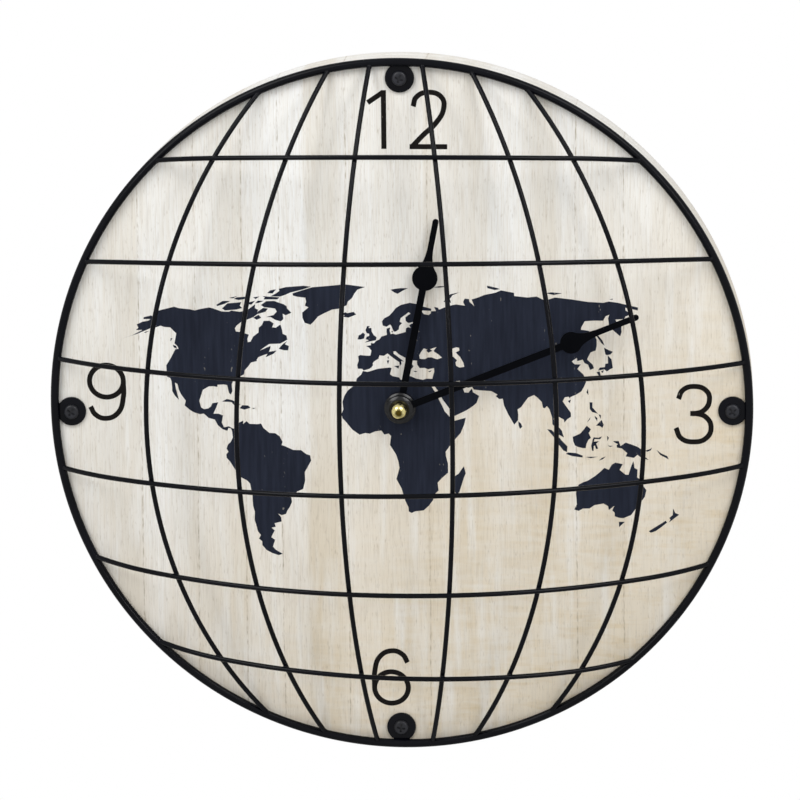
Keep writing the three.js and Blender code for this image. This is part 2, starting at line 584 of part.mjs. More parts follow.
// Case with the battery bay and the threaded bush, the back cover, and all that they hold
function movement() {
  const bayMiddle = bayTop - bayHeight / 2;
  const trainMiddle = (trainBottom + insideHalfHeight) / 2;
  const ceiling = frontWallInside - RUNNING_GAP;
  const floor = COVER_THICKNESS + RUNNING_GAP;
  const pivot = PIVOT_DIAMETER;

  const centre = [0, 0];
  const thirdSpan = TRAIN_MODULE * (CENTRE_TEETH + SMALL_PINION) / 2;
  const thirdModule = 2 * thirdSpan / (THIRD_TEETH + SMALL_PINION);
  const third = step(centre, thirdSpan, THIRD_DIRECTION);
  const intermediateSpan = TRAIN_MODULE * (SECONDS_TEETH + SMALL_PINION) / 2;
  const intermediate = step(centre, intermediateSpan, INTERMEDIATE_DIRECTION);
  const rotorSpan = TRAIN_MODULE * (INTERMEDIATE_TEETH + SMALL_PINION) / 2;
  const rotor = step(intermediate, rotorSpan, ROTOR_DIRECTION);
  const motionSpan = MOTION_MODULE * (CANNON_TEETH + MOTION_TEETH) / 2;
  const hourModule = 2 * motionSpan / (HOUR_TEETH + SMALL_PINION);
  const motion = step(centre, motionSpan, MOTION_DIRECTION);
  const setting = step(motion, MOTION_MODULE * (MOTION_TEETH + SETTING_TEETH) / 2, SETTING_DIRECTION);

  const knobHole = KNOB_ARBOR_DIAMETER + 2 * SHAFT_GAP;
  const caseDepth = movementDepth - COVER_THICKNESS - SEAT_GAP;
  const bushLength = bushEnd - movementFront + FRONT_WALL;
  const shell = cut(
    joined(
      roundedBlock(movementWidth, movementHeight, MOVEMENT_CORNER, caseDepth, COVER_THICKNESS + SEAT_GAP),
      disc(BUSH_DIAMETER, bushLength, frontWallInside),
    ),
    block(2 * insideHalfWidth, bayHeight, 2 * frontWallInside, [0, bayMiddle, 0]),
    block(2 * insideHalfWidth, insideHalfHeight - trainBottom, 2 * frontWallInside, [0, trainMiddle, 0]),
    hole(bushBore),
  );
  const cover = cut(
    solid(roundedBlock(movementWidth, movementHeight, MOVEMENT_CORNER, COVER_THICKNESS, 0)),
    block(2 * insideHalfWidth, bayHeight, THROUGH, [0, bayMiddle, 0]),
    hole(knobHole, PIN_SIDES, setting),
  );

  const magnetBack = level('stator') + STATOR_THICKNESS / 2 - ROTOR_MAGNET_LENGTH / 2;
  const rotorBody = joined(
    pinionGear(SMALL_PINION, TRAIN_MODULE, INTERMEDIATE_TEETH, ROTOR_DIRECTION, 'intermediate'),
    arbor(pivot, floor, ceiling),
    disc(ROTOR_MAGNET_DIAMETER, ROTOR_MAGNET_LENGTH, magnetBack),
  );
  const intermediateBody = joined(
    wheelGear(INTERMEDIATE_TEETH, TRAIN_MODULE, 'intermediate'),
    pinionGear(SMALL_PINION, TRAIN_MODULE, SECONDS_TEETH, INTERMEDIATE_DIRECTION, 'seconds'),
    arbor(pivot, floor, level('third') + PINION_LENGTH),
  );
  const secondsBody = joined(
    wheelGear(SECONDS_TEETH, TRAIN_MODULE, 'seconds'),
    pinionGear(SMALL_PINION, thirdModule, THIRD_TEETH, THIRD_DIRECTION + 180, 'third'),
    arbor(pivot, floor, level('third') + PINION_LENGTH),
  );
  const thirdBody = joined(
    wheelGear(THIRD_TEETH, thirdModule, 'third'),
    pinionGear(SMALL_PINION, TRAIN_MODULE, CENTRE_TEETH, THIRD_DIRECTION, 'centre'),
    arbor(pivot, floor, ceiling),
  );
  const centreBody = cut(
    solid(wheelGear(CENTRE_TEETH, TRAIN_MODULE, 'centre')),
    hole(ARBOR_DIAMETER + 2 * SHAFT_GAP),
  );
  const arborEnd = capNutBack + CAP_NUT_GRIP - movementBack;
  const minuteArbor = joined(
    disc(ARBOR_DIAMETER, arborEnd - level('centre'), level('centre')),
    disc(hourPipeOutside, WHEEL_THICKNESS, level('stator')),
    pinionGear(CANNON_TEETH, MOTION_MODULE, MOTION_TEETH, MOTION_DIRECTION + 180, 'motion'),
  );
  const motionBody = joined(
    wheelGear(MOTION_TEETH, MOTION_MODULE, 'motion'),
    pinionGear(SMALL_PINION, hourModule, HOUR_TEETH, MOTION_DIRECTION, 'hour'),
    arbor(pivot, level('stator') + PINION_LENGTH, ceiling),
  );
  const pipeEnd = hourHubBack + HUB_HEIGHT - movementBack;
  const hourBody = cut(
    joined(
      wheelGear(HOUR_TEETH, hourModule, 'hour'),
      disc(hourPipeOutside, pipeEnd - level('hour'), level('hour')),
    ),
    hole(hourPipeBore),
  );
  const knobBack = -KNOB_LENGTH - RUNNING_GAP;
  const fluted = Array.from({ length: 2 * KNOB_FLUTES }, (_, i) => {
    const radius = KNOB_DIAMETER / 2 - (i % 2) * KNOB_FLUTE_DEPTH;
    const angle = i * Math.PI / KNOB_FLUTES;
    return [radius * Math.cos(angle), radius * Math.sin(angle)];
  });
  const settingBody = joined(
    plate(fluted, KNOB_LENGTH, knobBack),
    arbor(KNOB_ARBOR_DIAMETER, knobBack, ceiling),
    pinionGear(SETTING_TEETH, MOTION_MODULE, MOTION_TEETH, SETTING_DIRECTION, 'motion'),
  );

  const magnetHole = ROTOR_MAGNET_DIAMETER + 2 * STATOR_GAP;
  const statorRing = magnetHole + 2 * STATOR_RING;
  const coilMiddle = [rotor[0] - COIL_WIDTH / 4, insideHalfHeight - COIL_WIDTH / 2 - RUNNING_GAP];
  const legReach = COIL_LENGTH / 2 + STATOR_LEG_WIDTH;
  const legTop = coilMiddle[1] + CORE_WIDTH / 2;
  const legs = [-1, 1].map((side) => {
    const outer = coilMiddle[0] + side * legReach;
    const inner = outer - side * (STATOR_LEG_WIDTH - RUNNING_GAP);
    const points = [
      [outer, legTop],
      [inner, legTop],
      [inner, legTop - COIL_WIDTH],
      [rotor[0], rotor[1] + magnetHole / 2],
      [rotor[0] + side * statorRing / 2, rotor[1]],
      [outer, legTop - COIL_WIDTH],
    ];
    return plate(side > 0 ? points : points.reverse(), STATOR_THICKNESS, level('stator'));
  });
  const statorBody = cut(
    joined(disc(statorRing, STATOR_THICKNESS, level('stator'), ROUND_SIDES, rotor), ...legs),
    hole(magnetHole, ROUND_SIDES, rotor),
  );
  const coreBack = level('stator') + STATOR_THICKNESS + SEAT_GAP;
  const coreMiddle = coreBack + CORE_THICKNESS / 2;
  const core = block(2 * legReach, CORE_WIDTH, CORE_THICKNESS, [...coilMiddle, coreMiddle]);
  const coil = cut(
    solid(block(COIL_LENGTH, COIL_WIDTH, COIL_HEIGHT, [...coilMiddle, coreMiddle])),
    block(THROUGH, CORE_WIDTH + 2 * RUNNING_GAP, CORE_THICKNESS + 2 * RUNNING_GAP,
      [...coilMiddle, coreMiddle]),
  );
  const circuitMiddle = [
    insideHalfWidth - RUNNING_GAP - CIRCUIT_WIDTH / 2,
    trainBottom + RUNNING_GAP + CIRCUIT_HEIGHT / 2,
  ];
  const circuitBack = ceiling - CIRCUIT_THICKNESS;
  const circuit = block(CIRCUIT_WIDTH, CIRCUIT_HEIGHT, CIRCUIT_THICKNESS,
    [...circuitMiddle, circuitBack + CIRCUIT_THICKNESS / 2]);
  const crystalRadius = CRYSTAL_DIAMETER / 2;
  const crystal = new THREE.CylinderGeometry(crystalRadius, crystalRadius, CRYSTAL_LENGTH, PIN_SIDES)
    .rotateZ(Math.PI / 2)
    .translate(...circuitMiddle, circuitBack - crystalRadius - RUNNING_GAP);

  const cellMiddle = frontWallInside - RUNNING_GAP - CELL_DIAMETER / 2;
  const cellBody = CELL_LENGTH - CELL_NUB_LENGTH;
  const cell = new THREE.LatheGeometry([
    [0, 0],
    [CELL_DIAMETER / 2, 0],
    [CELL_DIAMETER / 2, cellBody],
    [CELL_NUB_DIAMETER / 2, cellBody],
    [CELL_NUB_DIAMETER / 2, CELL_LENGTH],
    [0, CELL_LENGTH],
  ].map(([radius, height]) => new THREE.Vector2(radius, height)), ROUND_SIDES)
    .translate(0, -CELL_LENGTH / 2, 0)
    .rotateZ(-Math.PI / 2);
  const contact = () => block(CONTACT_THICKNESS, CONTACT_WIDTH, CONTACT_HEIGHT, [0, 0, 0]);

  const group = new THREE.Group();
  group.position.z = movementBack;
  group.add(
    piece('movement_case', shell, 'blackPlastic'),
    piece('movement_cover', cover, 'blackPlastic'),
    piece('rotor', rotorBody, 'magnet', [...rotor, 0]),
    piece('intermediate_wheel', intermediateBody, 'whitePlastic', [...intermediate, 0]),
    piece('seconds_wheel', secondsBody, 'whitePlastic'),
    piece('third_wheel', thirdBody, 'whitePlastic', [...third, 0]),
    piece('centre_wheel', centreBody, 'whitePlastic'),
    piece('minute_arbor', minuteArbor, 'brass'),
    piece('motion_wheel', motionBody, 'whitePlastic', [...motion, 0]),
    piece('hour_wheel', hourBody, 'whitePlastic'),
    piece('setting_knob', settingBody, 'blackPlastic', [...setting, 0]),
    piece('stator', statorBody, 'steel'),
    piece('coil_core', core, 'steel'),
    piece('coil', coil, 'copperWire'),
    piece('circuit_board', circuit, 'circuit'),
    piece('quartz_crystal', crystal, 'steel'),
    piece('battery', cell, 'cellJacket', [0, bayMiddle, cellMiddle]),
    piece('contact_negative', contact(), 'steel', [-contactAt, bayMiddle, cellMiddle]),
    piece('contact_positive', contact(), 'steel', [contactAt, bayMiddle, cellMiddle]),
  );
  return [group];
}

function hangerScrewPlaces() {
  const reach = HANGER_WIDTH / 2 - HANGER_SCREW_INSET;
  return [[-reach, hangerUp], [reach, hangerUp]];
}

// Sawtooth hanger and its two screws on the board's back
function hanger() {
  const bottom = hangerUp - HANGER_HEIGHT / 2;
  const top = hangerUp + HANGER_HEIGHT / 2;
  const side = HANGER_WIDTH / 2;
  const comb = side - 2 * HANGER_SCREW_INSET;
  const teeth = Array.from({ length: 2 * HANGER_TEETH + 1 }, (_, i) => [
    -comb + i * comb / HANGER_TEETH,
    bottom + (i % 2) * HANGER_TOOTH,
  ]);
  const back = boardBack - HANGER_THICKNESS - SEAT_GAP;
  const outline = [[-side, bottom], ...teeth, [side, bottom], [side, top], [-side, top]];
  const strip = cut(
    solid(plate(outline, HANGER_THICKNESS, back)),
    ...hangerScrewPlaces().map((place) => hole(HANGER_SCREW_SHANK + 2 * PILOT_GAP, PIN_SIDES, place)),
  );
  const screw = woodScrew(HANGER_SCREW_HEAD, HANGER_SCREW_HEAD_HEIGHT, HANGER_SCREW_SHANK,
    HANGER_SCREW_LENGTH);
  const screws = hangerScrewPlaces().map(([x, y], i) => {
    const node = piece(`hanger_screw_${i + 1}`, screw, 'steel', [x, y, back - SEAT_GAP]);
    node.rotation.x = Math.PI;
    return node;
  });
  return [piece('hanger', strip, 'steel'), ...screws];
}

const clock = new THREE.Group();
clock.add(...woodenBody(), ...wireGlobe(), ...handsAndFixings(), ...movement(), ...hanger());
clock.rotation.x = Math.PI / 2;

export default clock;
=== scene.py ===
"""Dresses the wall clock: a pale wooden dial with a printed world map under a globe of black wire.

Lengths are millimetres in the clock's own directions: across to the right, up to twelve and out
from the wall. They become metres of the shared frame where a piece is placed.
"""

import json
import logging
import math
from collections.abc import Callable, Iterator, Sequence
from contextlib import contextmanager
from dataclasses import dataclass, field
from enum import Enum

import bpy
from bpy.types import Material, NodeSocket, NodeTree, Object
from mathutils import Matrix, Vector


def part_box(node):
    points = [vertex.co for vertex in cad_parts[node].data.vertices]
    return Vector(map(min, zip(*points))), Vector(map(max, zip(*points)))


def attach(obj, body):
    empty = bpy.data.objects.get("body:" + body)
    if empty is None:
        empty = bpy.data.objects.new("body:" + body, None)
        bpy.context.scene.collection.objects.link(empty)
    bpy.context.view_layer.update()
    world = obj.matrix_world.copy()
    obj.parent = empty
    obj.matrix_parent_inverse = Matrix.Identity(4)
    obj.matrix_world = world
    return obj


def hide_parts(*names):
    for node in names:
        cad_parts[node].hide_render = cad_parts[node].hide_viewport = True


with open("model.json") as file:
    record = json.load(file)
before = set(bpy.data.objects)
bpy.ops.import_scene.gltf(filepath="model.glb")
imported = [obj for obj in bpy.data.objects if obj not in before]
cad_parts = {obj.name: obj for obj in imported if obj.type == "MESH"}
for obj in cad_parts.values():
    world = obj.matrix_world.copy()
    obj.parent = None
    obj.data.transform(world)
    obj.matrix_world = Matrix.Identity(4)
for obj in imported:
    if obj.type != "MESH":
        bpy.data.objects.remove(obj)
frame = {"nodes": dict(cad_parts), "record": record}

LOG = logging.getLogger("globe_clock")

MM = 0.001
FACING = (math.pi / 2, 0.0, 0.0)
SMOOTH_ANGLE = math.radians(32)
# Play round a shank or a shaft in its hole
PLAY = 0.1
# How far a drill runs past the face that it leaves through
OVERRUN = 1.0
# Points closer than this are merged
SAME_POINT = 0.001
# Slack of the tests that pick faces and edges by their place
SLACK = 0.01
# A direction that leans by less than this share counts as square to another one
SQUARE_LEAN = 0.1
# A face whose normal keeps more than this share along a direction counts as facing that way
FACING_SHARE = 0.9
# Degrees clockwise from twelve
THREE_O_CLOCK, SIX_O_CLOCK = 90, 180
# Tries in which the closest points of two wires are found
CROSSING_TRIES = 60
BORE_SIDES = 48
SHEET_EDGE_STEPS = 2
# A wave texture of scale one repeats after about this length
WAVE_LENGTH = 0.3
WHITE = "#FFFFFF"

# Sockets of a colour mix, which share their names with the mixes of other kinds
MIX_FACTOR, MIX_FIRST, MIX_SECOND = 0, 6, 7

Point = tuple[float, float]
Outline = Sequence[Point]
Size = tuple[float, float, float]


class Body(Enum):
    """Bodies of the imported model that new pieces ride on."""

    CASE = "case"
    HOUR = "hour_work"
    MINUTE = "minute_work"
    SETTING = "setting_work"


class Slot(Enum):
    """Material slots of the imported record."""

    WOOD = "pale_wood"
    STEEL = "black_steel"
    HANDS = "black_aluminium"
    BRASS = "brass"
    PLATED = "bright_steel"
    RUBBER = "rubber"
    BLACK_PLASTIC = "black_plastic"
    WHITE_PLASTIC = "white_plastic"
    COPPER = "copper_wire"
    CIRCUIT = "circuit"
    MAGNET = "magnet"
    CELL = "cell_jacket"


class Joint(Enum):
    """How two solids are combined, with Blender's name for it."""

    CUT = "DIFFERENCE"
    WELD = "UNION"


class Part(Enum):
    """What a selection is made of, with Blender's select mode for it."""

    EDGES = (False, True, False)
    FACES = (False, False, True)


def place(across: float, up: float, out: float) -> Vector:
    """Gives a point of the clock, in millimetres, as a point of the shared frame in metres."""
    return Vector((across, -out, up)) * MM


def clock_point(point: Vector) -> Vector:
    """Gives a point of the shared frame as millimetres across, up and out."""
    return Vector((point.x, point.z, -point.y)) / MM


def clock_box(node: str) -> tuple[Vector, Vector]:
    """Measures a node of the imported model.

    Args:
        node: the node's name.

    Returns:
        Its lowest and highest corner in millimetres across, up and out.
    """
    low, high = (clock_point(corner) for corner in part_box(node))
    return Vector((low.x, low.y, high.z)), Vector((high.x, high.y, low.z))


def on_dial(angle: float, radius: float) -> Point:
    """Gives the point at a clockwise angle from twelve, in degrees, and a radius."""
    turn = math.radians(angle)
    return radius * math.sin(turn), radius * math.cos(turn)


def linear(colour: str) -> tuple[float, float, float, float]:
    """Turns a colour written as an sRGB hex value into linear light.

    Args:
        colour: six hex digits after a hash sign.

    Returns:
        Red, green, blue and a full alpha.
    """
    shares = [int(colour[start:start + 2], 16) / 255 for start in (1, 3, 5)]
    # The curve that the sRGB standard gives
    light = [s / 12.92 if s <= 0.04045 else ((s + 0.055) / 1.055) ** 2.4 for s in shares]
    return light[0], light[1], light[2], 1.0


def per_mm(across: float, up: float, out: float) -> Vector:
    """Gives the scale of a pattern from the size of its marks in millimetres, in metres' terms."""
    return Vector((1 / across, 1 / out, 1 / up)) / MM


def add_node(
    tree: NodeTree,
    kind: str,
    inputs: dict[str | int, object] | None = None,
    give: str | None = None,
    **settings: object,
) -> NodeSocket | None:
    """Adds a node, sets its properties, and fills or links its sockets.

    Args:
        tree: the node tree that takes the node.
        kind: the node's Blender type, without the words that all shader nodes begin with.
        inputs: a value or another node's output for each named or numbered socket.
        give: the name of the output that is wanted, where it isn't the first in use.
        **settings: properties of the node.

    Returns:
        The node's output, if it has one.
    """
    node = tree.nodes.new(f"ShaderNode{kind}")
    for name, value in settings.items():
        setattr(node, name, value)
    for name, value in (inputs or {}).items():
        if isinstance(value, NodeSocket):
            tree.links.new(value, node.inputs[name])
        else:
            node.inputs[name].default_value = value
    if give:
        return node.outputs[give]
    return next((socket for socket in node.outputs if socket.enabled), None)


@dataclass(frozen=True)
class Finish:
    """A surface of the clock, made into one material of that name."""

    name: str

    def material(self) -> Material:
        """Makes the material, or gives the one that is made already.

        Returns:
            The material.
        """
        found = bpy.data.materials.get(self.name)
        if found is not None:
            return found
        made = bpy.data.materials.new(self.name)
        made.use_nodes = True
        tree = made.node_tree
        tree.nodes.clear()
        add_node(tree, "OutputMaterial", {"Surface": self.surface(tree)})
        return made

    def surface(self, tree: NodeTree) -> NodeSocket:
        """Adds the nodes of this surface and gives its shader."""
        raise NotImplementedError


@dataclass(frozen=True)
class WhitewashedWood(Finish):
    """Paulownia strips under a thin white wash: soft upright bands, dotted growth lines, fine fibre.

    A strip is given by its place across the dial and by its share of the deep tone there. Marks are
    given by their size across, up and out, and directions are those of the shared frame. Real fibres
    and pores are finer than a pixel, so they are drawn at the coarser sizes given here.
    """

    pale: str = "#FCFBF8"
    deep: str = "#DFD5C3"
    warm: str = "#DAC190"
    wash: str = "#F9F9F7"
    chalk: str = "#F0F8FF"
    pore: str = "#94805F"
    strips: tuple[Point, ...] = (
        (-200, 0.5), (-150, 0.6), (-146, 0.3), (-136, 0.1), (-129, 0.35), (-116, 0.5), (-112, 0.3),
        (-97, 0.5), (-88, 0.6), (-84, 0.25), (-72, 0.08), (-53, 0.08), (-51, 0.7), (-36, 0.65),
        (-32, 0.3), (-15, 0.25), (-8, 0.45), (14, 0.4), (17, 0.75), (25, 0.45), (42, 0.65), (48, 0.6),
        (56, 0.2), (68, 0.15), (80, 0.6), (88, 0.65), (94, 0.25), (110, 0.25), (120, 0.45), (132, 0.1),
        (200, 0.6),
    )
    growth_lines: tuple[float, ...] = (-147, -115, -88, -67, -29, 17, 101, 128)
    line_width: float = 1.3
    wander: Size = (60.0, 120.0, 60.0)
    wander_shift: float = 3.0
    fibre: Size = (0.9, 40.0, 0.9)
    tick: Size = (0.8, 4.0, 0.8)
    speck: Size = (0.7, 13.0, 0.7)
    streak: Size = (7.0, 60.0, 7.0)
    cloud: Size = (16.0, 140.0, 16.0)
    ripple: Size = (16.0, 3.2, 16.0)
    cloud_share: float = 0.6
    tone_from: float = 0.25
    warm_towards: Size = (0.66, 0.0, -0.75)
    warm_from: float = -40.0
    warm_to: float = 220.0
    warm_most: float = 0.85
    chalk_towards: Size = (-0.25, 0.0, 0.97)
    chalk_reach: float = 45.0
    relief: float = 0.08

    def surface(self, tree: NodeTree) -> NodeSocket:
        """Lays strips, growth lines, pores and wash over each other along the grain.

        Args:
            tree: the material's nodes.

        Returns:
            The wood's shader.
        """
        position = add_node(tree, "TexCoord", give="Object")
        # The grain wanders a little sideways over a hand's length
        wander = add_node(tree, "TexNoise", {
            "Vector": add_node(tree, "Mapping", {"Vector": position, "Scale": per_mm(*self.wander)}),
            "Scale": 1.0, "Detail": 2.0}, give="Color")
        grain = add_node(tree, "VectorMath", {
            0: wander, 1: (self.wander_shift * MM, 0, 0), 2: position}, operation="MULTIPLY_ADD")
        across = add_node(tree, "SeparateXYZ", {0: grain})
        fibre, tick, speck, streak, cloud, ripple = (
            add_node(tree, "TexNoise", {
                "Vector": add_node(tree, "Mapping", {"Vector": vector, "Scale": per_mm(*size)}),
                "Scale": 1.0, "Detail": 2.0})
            for vector, size in (
                (grain, self.fibre), (grain, self.tick), (grain, self.speck), (grain, self.streak),
                (grain, self.cloud), (position, self.ripple),
            )
        )
        tone = add_node(tree, "Math", {
            0: cloud, 1: self.cloud_share, 2: self.strip_tone(tree, across)}, operation="MULTIPLY_ADD")
        tone_share = add_node(tree, "MapRange", {
            "Value": tone, "From Min": self.tone_from, "From Max": 1 + self.tone_from})
        # Warmth grows towards the lower right, where the wash is thinner
        lean = add_node(
            tree, "VectorMath", {0: position, 1: self.warm_towards}, operation="DOT_PRODUCT")
        warmth = add_node(tree, "MapRange", {
            "Value": lean, "From Min": self.warm_from * MM,
            "From Max": self.warm_to * MM, "To Max": self.warm_most})
        figure = add_node(tree, "Math", {0: ripple, 1: warmth}, operation="MULTIPLY")
        # Above the middle a pale bluish white is laid over the strips, up to a fifth
        height = add_node(
            tree, "VectorMath", {0: position, 1: self.chalk_towards}, operation="DOT_PRODUCT")
        cover = add_node(tree, "MapRange", {
            "Value": height, "From Min": -self.chalk_reach * MM, "From Max": self.chalk_reach * MM})
        line = add_node(tree, "MapRange", {
            "Value": self.line_distance(tree, across), "From Max": self.line_width / 2 * MM,
            "To Min": 1.0, "To Max": 0.0})
        line_pores = add_node(tree, "MapRange", {
            "Value": tick, "From Min": 0.4, "From Max": 0.64, "To Max": 0.6})
        line_share = add_node(tree, "Math", {0: line, 1: line_pores}, operation="MULTIPLY")
        colour = add_node(tree, "Mix", {
            MIX_FACTOR: tone_share, MIX_FIRST: linear(self.pale), MIX_SECOND: linear(self.deep)},
            data_type="RGBA")
        # The share of each layer grows from nothing at its least value to its top at its most
        for share, least, most, top, over in (
            (warmth, 0.0, 1.0, 1.0, self.warm), (cover, 0.0, 1.0, 0.2, self.chalk),
            (streak, 0.5, 0.72, 0.5, self.wash), (speck, 0.5, 0.7, 0.19, self.pore),
            (figure, 0.12, 0.36, 0.35, self.wash), (fibre, 0.35, 0.7, 0.3, self.deep),
            (tick, 0.6, 0.75, 0.25, self.pore), (line_share, 0.0, 1.0, 1.0, self.pore),
        ):
            kept = add_node(tree, "MapRange", {
                "Value": share, "From Min": least, "From Max": most, "To Max": top})
            colour = add_node(tree, "Mix", {
                MIX_FACTOR: kept, MIX_FIRST: colour, MIX_SECOND: linear(over)}, data_type="RGBA")
        roughness = add_node(tree, "MapRange", {"Value": fibre, "To Min": 0.55, "To Max": 0.78})
        relief = add_node(tree, "Bump", {
            "Height": fibre, "Strength": 0.35, "Distance": self.relief * MM})
        return add_node(tree, "BsdfPrincipled", {
            "Base Color": colour, "Roughness": roughness, "IOR": 1.5,
            "Specular IOR Level": 0.2, "Normal": relief})

    def strip_tone(self, tree: NodeTree, across: NodeSocket) -> NodeSocket:
        """Adds the tone of the strips.

        Args:
            tree: the material's nodes.
            across: the place across the dial in metres.

        Returns:
            The share of the deep tone.
        """
        left, right = self.strips[0][0], self.strips[-1][0]
        share = add_node(tree, "MapRange", {
            "Value": across, "From Min": left * MM, "From Max": right * MM})
        ramp = add_node(tree, "ValToRGB", {"Fac": share})
        stops = ramp.node.color_ramp.elements
        for where, _ in self.strips[1:-1]:
            stops.new((where - left) / (right - left))
        for stop, (_, tone) in zip(stops, self.strips):
            stop.color = (tone, tone, tone, 1.0)
        return ramp

    def line_distance(self, tree: NodeTree, across: NodeSocket) -> NodeSocket:
        """Adds the distance to the nearest growth line.

        Args:
            tree: the material's nodes.
            across: the place across the dial in metres.

        Returns:
            The distance in metres.
        """
        nearest: NodeSocket | float = 1.0
        for where in self.growth_lines:
            aside = add_node(tree, "Math", {0: across, 1: where * MM}, operation="SUBTRACT")
            away = add_node(tree, "Math", {0: aside}, operation="ABSOLUTE")
            nearest = add_node(tree, "Math", {0: nearest, 1: away}, operation="MINIMUM")
        return nearest


@dataclass(frozen=True)
class PrintingInk(Finish):
    """Screen-printed ink, satin, with pale flecks where the wood's pores took no ink."""

    ink: str = "#1E222E"
    thin: str = "#292E3C"
    fleck: str = "#B9B3A6"
    mottle_size: Size = (2.5, 30.0, 2.5)
    fleck_size: Size = (0.8, 2.2, 0.8)
    row_size: Size = (5.0, 60.0, 5.0)

    def surface(self, tree: NodeTree) -> NodeSocket:
        """Mottles the film and breaks it with upright flecks.

        Args:
            tree: the material's nodes.

        Returns:
            The ink's shader.
        """
        position = add_node(tree, "TexCoord", give="Object")
        mottle, fleck, row = (
            add_node(tree, "TexNoise", {
                "Vector": add_node(tree, "Mapping", {"Vector": position, "Scale": per_mm(*size)}),
                "Scale": 1.0, "Detail": detail})
            for size, detail in ((self.mottle_size, 3.0), (self.fleck_size, 0.0), (self.row_size, 1.0))
        )
        mottle_share = add_node(tree, "MapRange", {"Value": mottle, "From Min": 0.35, "From Max": 0.75})
        # Flecks show only where their own cloud and that of their row are both dense
        gathered = add_node(tree, "Math", {0: fleck, 1: row}, operation="ADD")
        fleck_share = add_node(tree, "MapRange", {
            "Value": gathered, "From Min": 1.42, "From Max": 1.52, "To Max": 0.4})
        film = add_node(tree, "Mix", {
            MIX_FACTOR: mottle_share, MIX_FIRST: linear(self.ink),
            MIX_SECOND: linear(self.thin)}, data_type="RGBA")
        colour = add_node(tree, "Mix", {
            MIX_FACTOR: fleck_share, MIX_FIRST: film, MIX_SECOND: linear(self.fleck)}, data_type="RGBA")
        roughness = add_node(tree, "MapRange", {"Value": mottle, "To Min": 0.5, "To Max": 0.7})
        return add_node(tree, "BsdfPrincipled", {
            "Base Color": colour, "Roughness": roughness, "IOR": 1.5, "Specular IOR Level": 0.07})


@dataclass(frozen=True)
class Coating(Finish):
    """An opaque skin with a fine grain: powder coat, paint, moulded plastic, rubber or solder mask.

    The grain of the real skin is finer than a pixel, so it is drawn at the coarser size given here.
    """

    colour: str
    worn: str
    roughness: float
    grain: float
    relief: float
    gloss: float
    grains_in_cloud: float = 24.0

    def surface(self, tree: NodeTree) -> NodeSocket:
        """Clouds the colour a little and gives the skin its grain.

        Args:
            tree: the material's nodes.

        Returns:
            The coating's shader.
        """
        position = add_node(tree, "TexCoord", give="Object")
        grit = add_node(tree, "TexNoise", {
            "Vector": position, "Scale": 1 / (self.grain * MM), "Detail": 2.0})
        cloud = add_node(tree, "TexNoise", {
            "Vector": position, "Scale": 1 / (self.grains_in_cloud * self.grain * MM), "Detail": 3.0})
        worn_share = add_node(tree, "MapRange", {"Value": cloud, "From Min": 0.4, "From Max": 0.75})
        colour = add_node(tree, "Mix", {
            MIX_FACTOR: worn_share, MIX_FIRST: linear(self.colour),
            MIX_SECOND: linear(self.worn)}, data_type="RGBA")
        roughness = add_node(tree, "MapRange", {
            "Value": grit, "From Min": 0.3, "From Max": 0.7,
            "To Min": 0.85 * self.roughness, "To Max": 1.15 * self.roughness})
        bump = add_node(tree, "Bump", {"Height": grit, "Strength": 0.4, "Distance": self.relief * MM})
        return add_node(tree, "BsdfPrincipled", {
            "Base Color": colour, "Roughness": roughness,
            "IOR": 1.5, "Specular IOR Level": self.gloss, "Normal": bump})


@dataclass(frozen=True)
class Metal(Finish):
    """A bare metal with the marks of its making: lathe rings round the hands' axis, or a rolled streak.

    Real marks are finer than a pixel, so they are drawn at the coarser size given here.
    """

    colour: str
    tarnish: str
    roughness: float
    mark: float
    turned: bool = False
    streak_marks: float = 14.0
    haze_marks: float = 10.0
    relief: float = 0.02

    def surface(self, tree: NodeTree) -> NodeSocket:
        """Draws the lathe's rings or the roll's streaks into colour, gloss and relief.

        Args:
            tree: the material's nodes.

        Returns:
            The metal's shader.
        """
        position = add_node(tree, "TexCoord", give="Object")
        if self.turned:
            marks = add_node(tree, "TexWave", {
                "Vector": position, "Scale": WAVE_LENGTH / (self.mark * MM), "Distortion": 0.6,
                "Detail": 1.0}, give="Fac", wave_type="RINGS", rings_direction="Y")
        else:
            streak = (self.streak_marks * self.mark, self.mark, self.mark)
            marks = add_node(tree, "TexNoise", {
                "Vector": add_node(tree, "Mapping", {"Vector": position, "Scale": per_mm(*streak)}),
                "Scale": 1.0, "Detail": 3.0})
        haze = add_node(tree, "TexNoise", {
            "Vector": position, "Scale": 1 / (self.haze_marks * self.mark * MM), "Detail": 3.0})
        tarnish_share = add_node(tree, "MapRange", {"Value": haze, "From Min": 0.42, "From Max": 0.75})
        colour = add_node(tree, "Mix", {
            MIX_FACTOR: tarnish_share, MIX_FIRST: linear(self.colour),
            MIX_SECOND: linear(self.tarnish)}, data_type="RGBA")
        roughness = add_node(tree, "MapRange", {
            "Value": marks, "To Min": 0.8 * self.roughness, "To Max": 1.25 * self.roughness})
        bump = add_node(tree, "Bump", {"Height": marks, "Strength": 0.15, "Distance": self.relief * MM})
        return add_node(tree, "BsdfPrincipled", {
            "Base Color": colour, "Metallic": 1.0, "Roughness": roughness, "Normal": bump})


